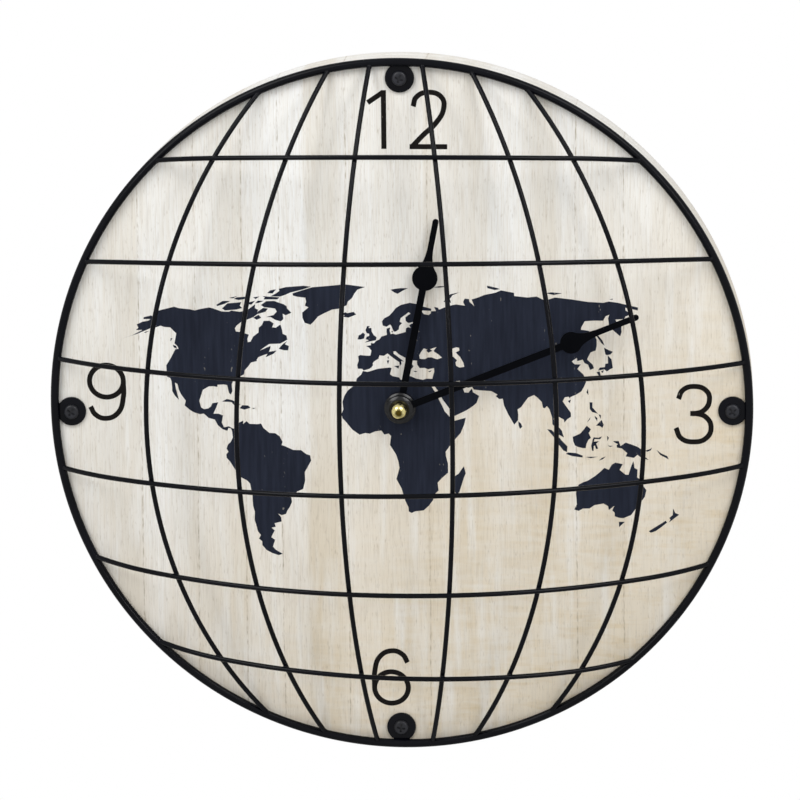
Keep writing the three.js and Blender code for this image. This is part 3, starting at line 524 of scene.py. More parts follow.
@dataclass(frozen=True)
class BrassWithPaintedReflection(Finish):
    """Polished brass, pale at the sides, with a painted dark reflection on the crown."""

    colour: str = "#DDD193"
    # Colour of the painted dark reflection on the crown
    crown: str = "#4A3E12"
    crown_at: Point = (0.2, -0.5)
    crown_radius: float = 3.1
    crown_core: float = 1.2
    haze: float = 1.5
    blur: float = 1.2

    def surface(self, tree: NodeTree) -> NodeSocket:
        """Paints a dark reflection on the metal towards the hands' axis.

        Args:
            tree: the material's nodes.

        Returns:
            The brass's shader.
        """
        position = add_node(tree, "TexCoord", give="Object")
        aside = add_node(tree, "VectorMath", {
            0: position, 1: place(*self.crown_at, 0)}, operation="SUBTRACT")
        # Only across and up count, so that the painted reflection on the crown is round from the front
        level = add_node(tree, "VectorMath", {0: aside, 1: (1, 0, 1)}, operation="MULTIPLY")
        away = add_node(tree, "VectorMath", {0: level}, operation="LENGTH")
        haze = add_node(tree, "TexNoise", {
            "Vector": position, "Scale": 1 / (self.haze * MM), "Detail": 2.0})
        blurred = add_node(tree, "Math", {
            0: haze, 1: self.blur * MM, 2: away}, operation="MULTIPLY_ADD")
        # The dark crown is a painted reflection
        painted_reflection_share = add_node(tree, "MapRange", {
            "Value": blurred, "From Min": (self.crown_core + self.blur / 2) * MM,
            "From Max": (self.crown_radius + self.blur / 2) * MM, "To Min": 1.0, "To Max": 0.0},
            interpolation_type="SMOOTHSTEP")
        colour = add_node(tree, "Mix", {
            MIX_FACTOR: painted_reflection_share, MIX_FIRST: linear(self.colour),
            MIX_SECOND: linear(self.crown)}, data_type="RGBA")
        roughness = add_node(tree, "MapRange", {"Value": haze, "To Min": 0.1, "To Max": 0.24})
        return add_node(tree, "BsdfPrincipled", {
            "Base Color": colour, "Metallic": 1.0, "Roughness": roughness})


@dataclass(frozen=True)
class CellJacket(Finish):
    """Shrunk printed film on a battery: a dark glossy sleeve with a bright band at one end."""

    sleeve: str = "#2E3B47"
    band: str = "#B98B3E"
    band_from: float = 10.0
    band_edge: float = 0.3
    film: Size = (20.0, 3.0, 3.0)

    def surface(self, tree: NodeTree) -> NodeSocket:
        """Splits the sleeve into its two colours along the cell.

        Args:
            tree: the material's nodes.

        Returns:
            The jacket's shader.
        """
        position = add_node(tree, "TexCoord", give="Object")
        along = add_node(tree, "SeparateXYZ", {0: position})
        after = add_node(tree, "MapRange", {
            "Value": along, "From Min": self.band_from * MM,
            "From Max": (self.band_from + self.band_edge) * MM})
        film = add_node(tree, "TexNoise", {
            "Vector": add_node(tree, "Mapping", {"Vector": position, "Scale": per_mm(*self.film)}),
            "Scale": 1.0, "Detail": 2.0})
        colour = add_node(tree, "Mix", {
            MIX_FACTOR: after, MIX_FIRST: linear(self.sleeve),
            MIX_SECOND: linear(self.band)}, data_type="RGBA")
        roughness = add_node(tree, "MapRange", {"Value": film, "To Min": 0.22, "To Max": 0.4})
        return add_node(tree, "BsdfPrincipled", {
            "Base Color": colour, "Metallic": 0.35, "Roughness": roughness})


@dataclass(frozen=True)
class Winding(Finish):
    """Enamelled copper wire wound on the coil: fine turns side by side, drawn coarser than real."""

    copper: str = "#B4652F"
    gap: str = "#6B3416"
    turn: float = 0.5
    relief: float = 0.1

    def surface(self, tree: NodeTree) -> NodeSocket:
        """Draws the turns across the coil's length.

        Args:
            tree: the material's nodes.

        Returns:
            The winding's shader.
        """
        position = add_node(tree, "TexCoord", give="Object")
        turns = add_node(tree, "TexWave", {
            "Vector": position, "Scale": WAVE_LENGTH / (self.turn * MM), "Distortion": 0.2},
            give="Fac", wave_type="BANDS", bands_direction="X")
        colour = add_node(tree, "Mix", {
            MIX_FACTOR: turns, MIX_FIRST: linear(self.gap),
            MIX_SECOND: linear(self.copper)}, data_type="RGBA")
        bump = add_node(tree, "Bump", {"Height": turns, "Strength": 0.5, "Distance": self.relief * MM})
        return add_node(tree, "BsdfPrincipled", {
            "Base Color": colour, "Metallic": 0.8, "Roughness": 0.34, "Normal": bump})


FINISHES: dict[Slot, Finish] = {
    # Pale sawn strips, chalky above and honey-warm to the lower right
    Slot.WOOD: WhitewashedWood("whitewashed_paulownia"),
    # Thick satin black skin, deep black with a thin line of light along each rod
    Slot.STEEL: Coating(
        "powder_coated_steel", "#04050A", "#090A11", roughness=0.17, grain=0.9, relief=0.008, gloss=0.1),
    # Thin sprayed black on sheet, flatter and deeper than the wires
    Slot.HANDS: Coating(
        "black_painted_aluminium", "#040508", "#08090D", roughness=0.4, grain=0.7, relief=0.01, gloss=0.03),
    # Pale yellow and bright, with the fine rings of the lathe
    Slot.BRASS: Metal("polished_brass", "#D9CB8C", "#C7B36A", roughness=0.16, mark=0.5, turned=True),
    # Cool grey, softly streaked along the roll
    Slot.PLATED: Metal("zinc_plated_steel", "#C2C5C9", "#A9ADB3", roughness=0.32, mark=0.5),
    # Dead matt black that shows only as a dark line
    Slot.RUBBER: Coating(
        "moulded_rubber", "#161617", "#1E1E1F", roughness=0.85, grain=0.6, relief=0.02, gloss=0.3),
    # Spark-eroded mould texture, soft sheen
    Slot.BLACK_PLASTIC: Coating(
        "moulded_black_abs", "#1A1A1C", "#242427", roughness=0.52, grain=0.5, relief=0.05, gloss=0.5),
    # Smooth milky moulding
    Slot.WHITE_PLASTIC: Coating(
        "moulded_white_acetal", "#E9E6DD", "#DFDBD0", roughness=0.4, grain=0.8, relief=0.01, gloss=0.5),
    # Red-brown turns that glint in rows
    Slot.COPPER: Winding("enamelled_copper_winding"),
    # Glossy green lacquer over the board's tracks
    Slot.CIRCUIT: Coating(
        "green_solder_mask", "#1E5B34", "#287043", roughness=0.3, grain=0.8, relief=0.02, gloss=0.5),
    # Dull dark grey from the press
    Slot.MAGNET: Metal("sintered_magnet", "#4C4C50", "#3E3E42", roughness=0.5, mark=0.6),
    # Slate blue film with a dull gold band
    Slot.CELL: CellJacket("printed_cell_film"),
}
# Navy-black ink of the map
MAP_INK = PrintingInk("screen_printed_navy_ink")
# Warmer black ink of the numerals
NUMERAL_INK = PrintingInk("screen_printed_black_ink", ink="#12100F", thin="#1A1716")
# Bright pale brass with a painted dark reflection on its crown, which holds the lamps' glints
NUT_BRASS = BrassWithPaintedReflection("browned_brass")
# Glossy black lacquer on the turned hubs, which catches the lamps on its rounded edge
LACQUER = Coating(
    "black_lacquered_hub", "#060608", "#0B0B0D", roughness=0.16, grain=0.6, relief=0.005, gloss=0.34)
# Blackened zinc on the screw heads, greyer than the coat round them
BLACK_ZINC = Coating(
    "black_zinc_plate", "#15161B", "#22232A", roughness=0.34, grain=0.5, relief=0.02, gloss=0.3)


def only(piece: Object) -> None:
    """Selects one piece alone and makes it the active one.

    Args:
        piece: the piece.
    """
    bpy.ops.object.select_all(action="DESELECT")
    piece.select_set(True)
    bpy.context.view_layer.objects.active = piece


def settle(name: str) -> Object:
    """Names the piece just added and puts its place into its mesh.

    Args:
        name: the piece's name.

    Returns:
        The piece, which sits at the origin, unturned and unscaled.
    """
    piece = bpy.context.object
    piece.name = name
    piece.data.name = name
    bpy.ops.object.transform_apply(location=True, rotation=True, scale=True)
    return piece


@contextmanager
def editing(
    piece: Object,
    part: Part = Part.FACES,
    test: Callable[[Vector, Vector], bool] = lambda middle, direction: True,
) -> Iterator[None]:
    """Opens a piece in edit mode with some of its faces or edges selected.

    Args:
        piece: the piece to shape.
        part: whether faces or edges are selected.
        test: takes the middle of a face or edge, in millimetres across, up and out, with the
            face's normal or the edge's direction, and says whether it is selected.
    """
    mesh = piece.data
    only(piece)
    for elements in (mesh.vertices, mesh.edges, mesh.polygons):
        elements.foreach_set("select", [False] * len(elements))
    if part is Part.FACES:
        for face in mesh.polygons:
            face.select = test(clock_point(face.center), clock_point(face.normal * MM))
    else:
        for edge in mesh.edges:
            first, second = (mesh.vertices[index].co for index in edge.vertices)
            direction = (second - first).normalized()
            edge.select = test(clock_point((first + second) / 2), clock_point(direction * MM))
    bpy.context.tool_settings.mesh_select_mode = part.value
    bpy.ops.object.mode_set(mode="EDIT")
    yield
    bpy.ops.object.mode_set(mode="OBJECT")


def close_up(piece: Object) -> None:
    """Merges doubled points of a piece and turns all its faces outwards.

    Args:
        piece: the piece.
    """
    with editing(piece):
        bpy.ops.mesh.remove_doubles(threshold=SAME_POINT * MM)
        bpy.ops.mesh.normals_make_consistent(inside=False)


def combine(piece: Object, other: Object, joint: Joint) -> None:
    """Cuts another solid out of a piece, or welds it on, and removes it.

    Args:
        piece: the piece to shape.
        other: the solid that is used up.
        joint: how they are combined.
    """
    only(piece)
    step = piece.modifiers.new("step", "BOOLEAN")
    step.operation = joint.value
    step.solver = "EXACT"
    step.object = other
    bpy.ops.object.modifier_apply(modifier=step.name)
    bpy.data.objects.remove(other)


def drum(name: str, middle: Point, radius: float, back: float, front: float, sides: int) -> Object:
    """Adds a round blank that faces out from the wall.

    Args:
        name: the piece's name.
        middle: its axis, across and up.
        radius: its radius.
        back: how far its back stands out from the wall.
        front: how far its front stands out from the wall.
        sides: the facets round it.

    Returns:
        The blank, to be shaped further.
    """
    bpy.ops.object.select_all(action="DESELECT")
    bpy.ops.mesh.primitive_cylinder_add(
        vertices=sides, radius=radius * MM, depth=(front - back) * MM,
        location=place(*middle, (back + front) / 2), rotation=FACING)
    return settle(name)


def drill(piece: Object, middle: Point, shaft: float, back: float, front: float) -> None:
    """Bores a piece for a shaft.

    Args:
        piece: the piece to bore.
        middle: the bore's axis, across and up.
        shaft: the shaft's diameter.
        back: how far the bore's back end stands out from the wall.
        front: how far its front end stands out from the wall.
    """
    combine(piece, drum("drill", middle, shaft / 2 + PLAY, back, front, BORE_SIDES), Joint.CUT)


def round_edges(
    piece: Object, test: Callable[[Vector, Vector], bool], width: float, steps: int,
) -> None:
    """Rounds the edges of a piece that pass a test.

    Args:
        piece: the piece to shape.
        test: the test of an edge's middle and direction.
        width: how far the rounding reaches from the edge.
        steps: the facets of the rounding.
    """
    with editing(piece, Part.EDGES, test):
        bpy.ops.mesh.bevel(offset=width * MM, segments=steps, affect="EDGES")


def is_level(direction: Vector) -> bool:
    """Says whether a direction runs parallel to the wall."""
    return abs(direction.z) < SQUARE_LEAN


def joined(pieces: Sequence[Object], name: str) -> Object:
    """Joins pieces into one mesh.

    Args:
        pieces: the pieces.
        name: the joined piece's name.

    Returns:
        The first piece, which now holds them all.
    """
    only(pieces[0])
    for piece in pieces[1:]:
        piece.select_set(True)
    bpy.ops.object.join()
    pieces[0].name = name
    pieces[0].data.name = name
    return pieces[0]


def copied(piece: Object, name: str, turn: Matrix) -> Object:
    """Copies a piece with a mesh of its own.

    Args:
        piece: the piece to copy.
        name: the copy's name.
        turn: moves the copy's mesh from the first piece's place to its own.

    Returns:
        The copy.
    """
    twin = piece.copy()
    twin.data = piece.data.copy()
    twin.name = name
    twin.data.name = name
    twin.data.transform(turn)
    bpy.context.scene.collection.objects.link(twin)
    return twin


def dress(piece: Object, slot: Slot, body: Body, *nodes: str, finish: Finish | None = None) -> Object:
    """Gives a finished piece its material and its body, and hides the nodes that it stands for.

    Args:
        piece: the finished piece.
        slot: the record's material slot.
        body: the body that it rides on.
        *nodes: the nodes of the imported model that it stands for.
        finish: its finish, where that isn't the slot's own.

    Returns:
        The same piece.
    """
    only(piece)
    bpy.ops.object.shade_smooth_by_angle(angle=SMOOTH_ANGLE)
    piece.data.materials.clear()
    piece.data.materials.append((finish or FINISHES[slot]).material())
    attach(piece, body.value)
    if nodes:
        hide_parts(*nodes)
    LOG.info("%s: %d faces on %s", piece.name, len(piece.data.polygons), body.value)
    return piece


def arc_points(middle: Point, radius: float, first: float, last: float, steps: int) -> list[Point]:
    """Gives points along an arc.

    Args:
        middle: the middle of its circle.
        radius: the circle's radius.
        first: the angle where it starts, in radians anticlockwise from the right.
        last: the angle where it ends.
        steps: the straight steps along it.

    Returns:
        The points, with both ends.
    """
    turns = (first + (last - first) * step / steps for step in range(steps + 1))
    return [(middle[0] + radius * math.cos(turn), middle[1] + radius * math.sin(turn)) for turn in turns]


def bend_points(first: Point, pull: Point, last: Point, steps: int) -> list[Point]:
    """Gives points along a bend that is drawn towards a pull on its way.

    Args:
        first: where it starts.
        pull: the point that it heads for at its start and comes from at its end.
        last: where it ends.
        steps: the straight steps along it.

    Returns:
        The points, with both ends.
    """
    shares = (step / steps for step in range(steps + 1))
    return [
        tuple(
            (1 - share) ** 2 * start + 2 * share * (1 - share) * middle + share ** 2 * end
            for start, middle, end in zip(first, pull, last)
        )
        for share in shares
    ]


def sheet_piece(
    name: str, outlines: Sequence[Outline], back: float, front: float, rounding: float = 0.0,
) -> Object:
    """Cuts a flat piece that faces out from the wall.

    Args:
        name: the piece's name.
        outlines: its closed outline, with the outlines of its holes after it.
        back: how far its back stands out from the wall.
        front: how far its front stands out from the wall.
        rounding: the radius of its edges.

    Returns:
        The piece.
    """
    curve = bpy.data.curves.new(name, "CURVE")
    curve.dimensions = "2D"
    curve.fill_mode = "BOTH"
    curve.extrude = ((front - back) / 2 - rounding) * MM
    curve.bevel_depth = rounding * MM
    curve.bevel_resolution = SHEET_EDGE_STEPS
    curve.offset = -rounding * MM
    for outline in outlines:
        spline = curve.splines.new("POLY")
        spline.points.add(len(outline) - 1)
        spline.use_cyclic_u = True
        for point, (across, up) in zip(spline.points, outline):
            point.co = (across * MM, up * MM, 0, 1)
    piece = bpy.data.objects.new(name, curve)
    bpy.context.scene.collection.objects.link(piece)
    piece.location = place(0, 0, (back + front) / 2)
    piece.rotation_euler = FACING
    only(piece)
    bpy.ops.object.convert(target="MESH")
    settle(name)
    close_up(piece)
    return piece


@dataclass
class WoodenBody:
    """The round dial board with its rear pocket, and the hoop that stands it off the wall."""

    sides: int = 256
    edge_rounding: float = 0.7
    edge_steps: int = 4
    hoop_width: float = 20.0
    pocket_width: float = 62.0
    pocket_corner: float = 6.0
    corner_steps: int = 8
    pocket_floor: float = 20.5
    pocket_chamfer: float = 0.6
    bush: float = 8.2
    hole_spare: float = 0.3
    screws: dict[str, float] = field(default_factory=lambda: {
        "lug_screw_top": 3.6, "lug_screw_right": 3.6, "lug_screw_bottom": 3.6, "lug_screw_left": 3.6,
        "hanger_screw_1": 2.4, "hanger_screw_2": 2.4})

    def build(self) -> None:
        """Makes the board and the hoop."""
        dress(self.board(), Slot.WOOD, Body.CASE, "dial_board")
        dress(self.hoop(), Slot.WOOD, Body.CASE, "rear_hoop")

    def board(self) -> Object:
        """Turns the board, routs its pocket and drills it for the bush and the screws.

        Returns:
            The board.
        """
        low, high = clock_box("dial_board")
        radius = high.x
        board = drum("wooden_board", (0, 0), radius, low.z, high.z, self.sides)
        round_edges(
            board, lambda middle, direction: is_level(direction), self.edge_rounding, self.edge_steps)
        depth = self.pocket_floor - low.z
        bpy.ops.object.select_all(action="DESELECT")
        bpy.ops.mesh.primitive_cube_add(size=MM, location=place(0, 0, low.z), scale=(
            self.pocket_width, 2 * depth, self.pocket_width))
        router = settle("router")
        round_edges(
            router, lambda middle, direction: not is_level(direction),
            self.pocket_corner, self.corner_steps)
        combine(board, router, Joint.CUT)
        drill(board, (0, 0), self.bush, low.z, high.z + OVERRUN)
        for node, shank in self.screws.items():
            foot, head = clock_box(node)
            middle = tuple((foot + head) / 2)[:2]
            drill(board, middle, shank, foot.z - self.hole_spare, head.z + self.hole_spare)
        half = self.pocket_width / 2 + self.pocket_chamfer
        round_edges(
            board,
            lambda middle, direction: is_level(direction) and abs(middle.z - low.z) < SLACK
            and abs(middle.x) < half and abs(middle.y) < half,
            self.pocket_chamfer, 1)
        return board

    def hoop(self) -> Object:
        """Opens a round blank into a hoop and eases its edges.

        Returns:
            The hoop.
        """
        low, high = clock_box("rear_hoop")
        hoop = drum("wooden_hoop", (0, 0), high.x, low.z, high.z, self.sides)
        with editing(hoop, Part.FACES, lambda middle, normal: not is_level(normal)):
            bpy.ops.mesh.inset(thickness=self.hoop_width * MM)
            bpy.ops.mesh.bridge_edge_loops()
        inner = high.x - self.hoop_width
        round_edges(
            hoop,
            lambda middle, direction: is_level(direction)
            and abs(direction.x * middle.x + direction.y * middle.y) < SQUARE_LEAN * inner,
            self.edge_rounding, self.edge_steps)
        return hoop


@dataclass(frozen=True)
class WireArc:
    """A wire's centre line: the arc through three points in millimetres across, up and out."""

    start: Vector
    middle: Vector
    end: Vector

    def axis(self) -> Vector:
        """Gives the direction that the arc turns about."""
        return (self.middle - self.start).cross(self.end - self.start).normalized()

    def centre(self) -> Vector:
        """Finds the middle of the arc's circle.

        Returns:
            The point that is as far from the start as from the middle and the end.
        """
        to_middle = self.middle - self.start
        to_end = self.end - self.start
        normal = to_middle.cross(to_end)
        lean = to_middle.length_squared * to_end - to_end.length_squared * to_middle
        return self.start + lean.cross(normal) / (2 * normal.length_squared)

    def radius(self) -> float:
        """Gives the radius of the arc's circle."""
        return (self.start - self.centre()).length

    def sweep(self) -> float:
        """Measures how far the arc turns.

        Returns:
            The angle from start to end in radians.
        """
        first = self.start - self.centre()
        last = self.end - self.centre()
        return math.atan2(self.axis().dot(first.cross(last)), first.dot(last)) % math.tau

    def along(self, length: float) -> Vector:
        """Gives the point a length of wire after the start."""
        turn = Matrix.Rotation(length / self.radius(), 3, self.axis())
        return self.centre() + turn @ (self.start - self.centre())

    def backwards(self) -> "WireArc":
        """Gives the same arc from its end to its start."""
        return WireArc(self.end, self.middle, self.start)

    def tucked(self, target: Vector, reach: float) -> tuple["WireArc", "WireArc"]:
        """Stops the arc early and bends the rest of the wire smoothly in to a target.

        Args:
            target: the point where the wire ends.
            reach: the length of wire that the bend takes.

        Returns:
            What is left of the arc, and the bend.
        """
        length = self.sweep() * self.radius() - reach
        leave = self.along(length)
        heading = self.axis().cross(leave - self.centre()).normalized()
        chord = target - leave
        outwards = (heading - chord * heading.dot(chord) / chord.length_squared).normalized()
        bulge = chord.length / 2 * math.tan(heading.angle(chord) / 2)
        kept = WireArc(self.start, self.along(length / 2), leave)
        return kept, WireArc(leave, leave + chord / 2 + outwards * bulge, target)

    def nearest(self, point: Vector) -> Vector:
        """Finds the point of the arc's circle nearest to another point.

        Args:
            point: the other point.

        Returns:
            The nearest point.
        """
        away = point - self.centre()
        away -= self.axis() * away.dot(self.axis())
        return self.centre() + away.normalized() * self.radius()

    def crossing(self, other: "WireArc") -> Vector:
        """Gives the point midway between this arc and another where they pass closest.

        Args:
            other: the arc that crosses this one.

        Returns:
            The point between the two wires.
        """
        here = self.middle
        for _ in range(CROSSING_TRIES):
            there = other.nearest(here)
            here = self.nearest(there)
        return (here + there) / 2


@dataclass
class WireGlobe:
    """The rim ring, the twelve bowed wires welded to it, and the four lugs that hold it down.

    A meridian is given from top to bottom: its angle from twelve, how far from the axis it crosses
    the equator, and its angle from six. A parallel is given from left to right: its angle above nine,
    how far it rises on the middle line, and its angle above three. All are degrees.
    """

    meridians: tuple[tuple[float, float, float], ...] = (
        (-22.9, -25.9, -22.8), (-11.3, -15.8, -13.0), (-4.5, -5.2, -4.3),
        (4.0, 6.0, 4.8), (12.0, 16.4, 11.8), (21.2, 25.5, 25.1),
    )
    parallels: tuple[tuple[float, float, float], ...] = (
        (45.6, 27.2, 45.9), (24.8, 16.5, 25.8), (7.8, 4.8, 7.8),
        (-10.7, -6.5, -9.5), (-26.6, -17.3, -27.1), (-44.3, -27.5, -47.9),
    )
    lug_angles: dict[str, float] = field(default_factory=lambda: {
        "top": 0.3, "right": 90.5, "bottom": 180.4, "left": 268.7})
    recess_turns: dict[str, float] = field(default_factory=lambda: {
        "top": 20.0, "right": 52.0, "bottom": 8.0, "left": 35.0})
    ring_steps: int = 360
    rod_sides: int = 24
    wire: float = 2.8
    wire_sides: int = 16
    meridian_sphere: float = 323.357
    parallel_sphere: float = 326.307
    sphere_centre: float = -228.457
    lug: float = 16.5
    lug_radius: float = 188.3
    lug_sides: int = 64
    lug_rounding: float = 0.45
    lug_steps: int = 4
    screw_head: float = 8.6
    screw_sides: int = 48
    head_gap: float = 0.1
    screw_dome: float = 1.5
    dome_steps: int = 6
    screw_shank: float = 3.6
    recess_length: float = 4.8
    recess_width: float = 1.15
    recess_depth: float = 1.4
    tuck: float = 45.0
    facet: float = 6.0
    fewest_facets: int = 6
    weld: float = 1.5
    weld_at_ring: float = 1.75
    weld_inset: float = 2.3
    weld_flatness: float = 0.85
    weld_steps: int = 2
    bead: float = 0.25
    bead_width: float = 4.0

    def build(self) -> None:
        """Makes the ring, the wires, the lugs and their screws."""
        dress(self.ring(), Slot.STEEL, Body.CASE, "rim_ring")
        nugget = self.nugget()
        meridian_arcs = [
            self.bowed_arc(self.meridian_sphere, top, SIX_O_CLOCK - bottom, middle, THREE_O_CLOCK)
            for top, middle, bottom in self.meridians
        ]
        for number, arc in enumerate(meridian_arcs, start=1):
            wire = self.welded_wire(f"meridian_{number}", [arc], [], nugget)
            dress(wire, Slot.STEEL, Body.CASE, f"meridian_wire_{number}")
        for number, (left, middle, right) in enumerate(self.parallels, start=1):
            ends = (left - THREE_O_CLOCK, THREE_O_CLOCK - right)
            arc = self.bowed_arc(self.parallel_sphere, *ends, middle, 0)
            crossings = [arc.crossing(meridian) for meridian in meridian_arcs]
            path = self.tucked_in(arc, *ends)
            wire = self.welded_wire(f"parallel_{number}", path, crossings, nugget)
            dress(wire, Slot.STEEL, Body.CASE, f"parallel_wire_{number}")
        bpy.data.objects.remove(nugget)
        self.fixings()

    def sphere_point(self, sphere: float, polar: float, angle: float) -> Vector:
        """Gives a point of a wire's sphere.

        Args:
            sphere: the sphere's radius.
            polar: degrees from the hands' axis.
            angle: degrees clockwise from twelve.

        Returns:
            The point in millimetres across, up and out.
        """
        lean = math.radians(polar)
        across, up = on_dial(angle, sphere * math.sin(lean))
        return Vector((across, up, self.sphere_centre + sphere * math.cos(lean)))

    def ring_polar(self) -> float:
        """Measures the ring's angle from the hands' axis on the meridians' sphere.

        Returns:
            The angle in degrees.
        """
        low, high = clock_box("rim_ring")
        rod = (high.z - low.z) / 2
        return math.degrees(math.asin((high.x - rod) / self.meridian_sphere))

    def bowed_arc(
        self, sphere: float, first: float, last: float, middle: float, towards: float,
    ) -> WireArc:
        """Bends a wire's centre line over its sphere, from one side of the ring to the other.

        Args:
            sphere: the radius of the wire's sphere.
            first: degrees of its first end clockwise from twelve.
            last: degrees of its last end clockwise from twelve.
            middle: degrees of its middle from the hands' axis.
            towards: degrees clockwise from twelve, the way that its middle lies from the axis.

        Returns:
            The arc.
        """
        ring = self.ring_polar()
        return WireArc(
            self.sphere_point(sphere, ring, first),
            self.sphere_point(sphere, middle, towards),
            self.sphere_point(sphere, ring, last))

    def tucked_in(self, arc: WireArc, left: float, right: float) -> list[WireArc]:
        """Bends a parallel's ends in to the ring.

        Args:
            arc: the parallel's arc, which passes in front of the ring.
            left: degrees of its left end clockwise from twelve.
            right: degrees of its right end clockwise from twelve.

        Returns:
            The left bend, the arc between and the right bend.
        """
        left_end, right_end = (
            self.sphere_point(self.meridian_sphere, self.ring_polar(), angle) for angle in (left, right)
        )
        kept, right_bend = arc.tucked(right_end, self.tuck)
        kept, left_bend = kept.backwards().tucked(left_end, self.tuck)
        return [left_bend.backwards(), kept.backwards(), right_bend]

    def ring(self) -> Object:
        """Bends the rim rod into a circle and raises the bead where its ends are welded.

        Returns:
            The ring.
        """
        low, high = clock_box("rim_ring")
        rod = (high.z - low.z) / 2
        bpy.ops.object.select_all(action="DESELECT")
        bpy.ops.mesh.primitive_torus_add(
            major_segments=self.ring_steps, minor_segments=self.rod_sides,
            major_radius=(high.x - rod) * MM, minor_radius=rod * MM,
            location=place(0, 0, (low.z + high.z) / 2), rotation=FACING)
        ring = settle("rim_rod")
        half = self.bead_width / 2
        with editing(ring, Part.FACES, lambda middle, normal: abs(middle.x) < half and middle.y < 0):
            bpy.ops.transform.shrink_fatten(value=self.bead * MM)
        return ring

    def welded_wire(
        self, name: str, path: Sequence[WireArc], crossings: Sequence[Vector], nugget: Object,
    ) -> Object:
        """Bends a wire along its path and adds its weld nuggets.

        Args:
            name: the wire's name.
            path: the arcs of its centre line, one after the other.
            crossings: where it is welded to the wires behind it.
            nugget: the weld nugget to copy.

        Returns:
            The wire.
        """
        first, last = path[0], path[-1]
        tangent = place(*first.axis().cross(first.start - first.centre()))
        bpy.ops.object.select_all(action="DESELECT")
        bpy.ops.mesh.primitive_circle_add(
            vertices=self.wire_sides, radius=self.wire / 2 * MM, fill_type="NGON",
            location=place(*first.start), rotation=tangent.to_track_quat("Z", "Y").to_euler())
        wire = settle(name)
        with editing(wire):
            for arc in path:
                steps = max(self.fewest_facets, round(arc.sweep() * arc.radius() / self.facet))
                bpy.ops.mesh.spin(
                    steps=steps, angle=arc.sweep(), center=place(*arc.centre()), axis=-place(*arc.axis()))
        close_up(wire)
        ends = (first.along(self.weld_inset), last.backwards().along(self.weld_inset))
        welds = [(point, self.weld) for point in crossings]
        welds += [(point, self.weld_at_ring) for point in ends]
        nuggets = [
            copied(nugget, "nugget", Matrix.Translation(place(*point)) @ Matrix.Scale(radius, 4))
            for point, radius in welds
        ]
        return joined([wire, *nuggets], name)

    def nugget(self) -> Object:
        """Shapes a weld nugget of one millimetre's radius at the origin, to be copied.

        Returns:
            The nugget, a ball that is flatter towards the wall.
        """
        bpy.ops.object.select_all(action="DESELECT")
        bpy.ops.mesh.primitive_ico_sphere_add(
            subdivisions=self.weld_steps, radius=MM, scale=(1, self.weld_flatness, 1))
        return settle("nugget")

    def fixings(self) -> None:
        """Makes one lug and one screw at twelve and copies them to their places on the ring."""
        middle = (0.0, self.lug_radius)
        lug_low, lug_high = clock_box("lug_top")
        lug = drum("lug", middle, self.lug / 2, lug_low.z, lug_high.z, self.lug_sides)
        round_edges(lug, lambda where, direction: is_level(direction) and where.z > lug_low.z + SLACK,
                    self.lug_rounding, self.lug_steps)
        drill(lug, middle, self.screw_shank, lug_low.z - OVERRUN, lug_high.z + OVERRUN)
        screw = self.screw(middle)
        to_axis = Matrix.Translation(place(*middle, 0))
        for side, angle in self.lug_angles.items():
            round_dial = Matrix.Rotation(math.radians(angle), 4, "Y")
            recess = Matrix.Rotation(math.radians(self.recess_turns[side]), 4, "Y")
            twin = copied(lug, f"round_lug_{side}", round_dial)
            dress(twin, Slot.STEEL, Body.CASE, f"lug_{side}")
            driven = round_dial @ to_axis @ recess @ to_axis.inverted()
            twin = copied(screw, f"pan_screw_{side}", driven)
            dress(twin, Slot.STEEL, Body.CASE, f"lug_screw_{side}", finish=BLACK_ZINC)
        for pattern in (lug, screw):
            bpy.data.objects.remove(pattern)

    def screw(self, middle: Point) -> Object:
        """Makes a pan-head screw with a cross recess.

        Args:
            middle: its axis, across and up.

        Returns:
            The screw.
        """
        low, high = clock_box("lug_screw_top")
        seat = clock_box("lug_top")[1].z + self.head_gap
        head = self.screw_head / 2
        screw = drum("screw", middle, head, seat, high.z, self.screw_sides)
        with editing(screw, Part.FACES, lambda where, normal: normal.z < -FACING_SHARE):
            bpy.ops.mesh.inset(thickness=(head - self.screw_shank / 2) * MM)
            bpy.ops.mesh.extrude_region_move(
                TRANSFORM_OT_translate={"value": place(0, 0, low.z - seat)})
        round_edges(screw, lambda where, direction: is_level(direction) and where.z > high.z - SLACK,
                    self.screw_dome, self.dome_steps)
        slot = (self.recess_length, self.recess_width)
        for across, up in (slot, slot[::-1]):
            bpy.ops.object.select_all(action="DESELECT")
            bpy.ops.mesh.primitive_cube_add(
                size=MM, location=place(*middle, high.z), scale=(across, 2 * self.recess_depth, up))
            combine(screw, settle("driver"), Joint.CUT)
        return screw


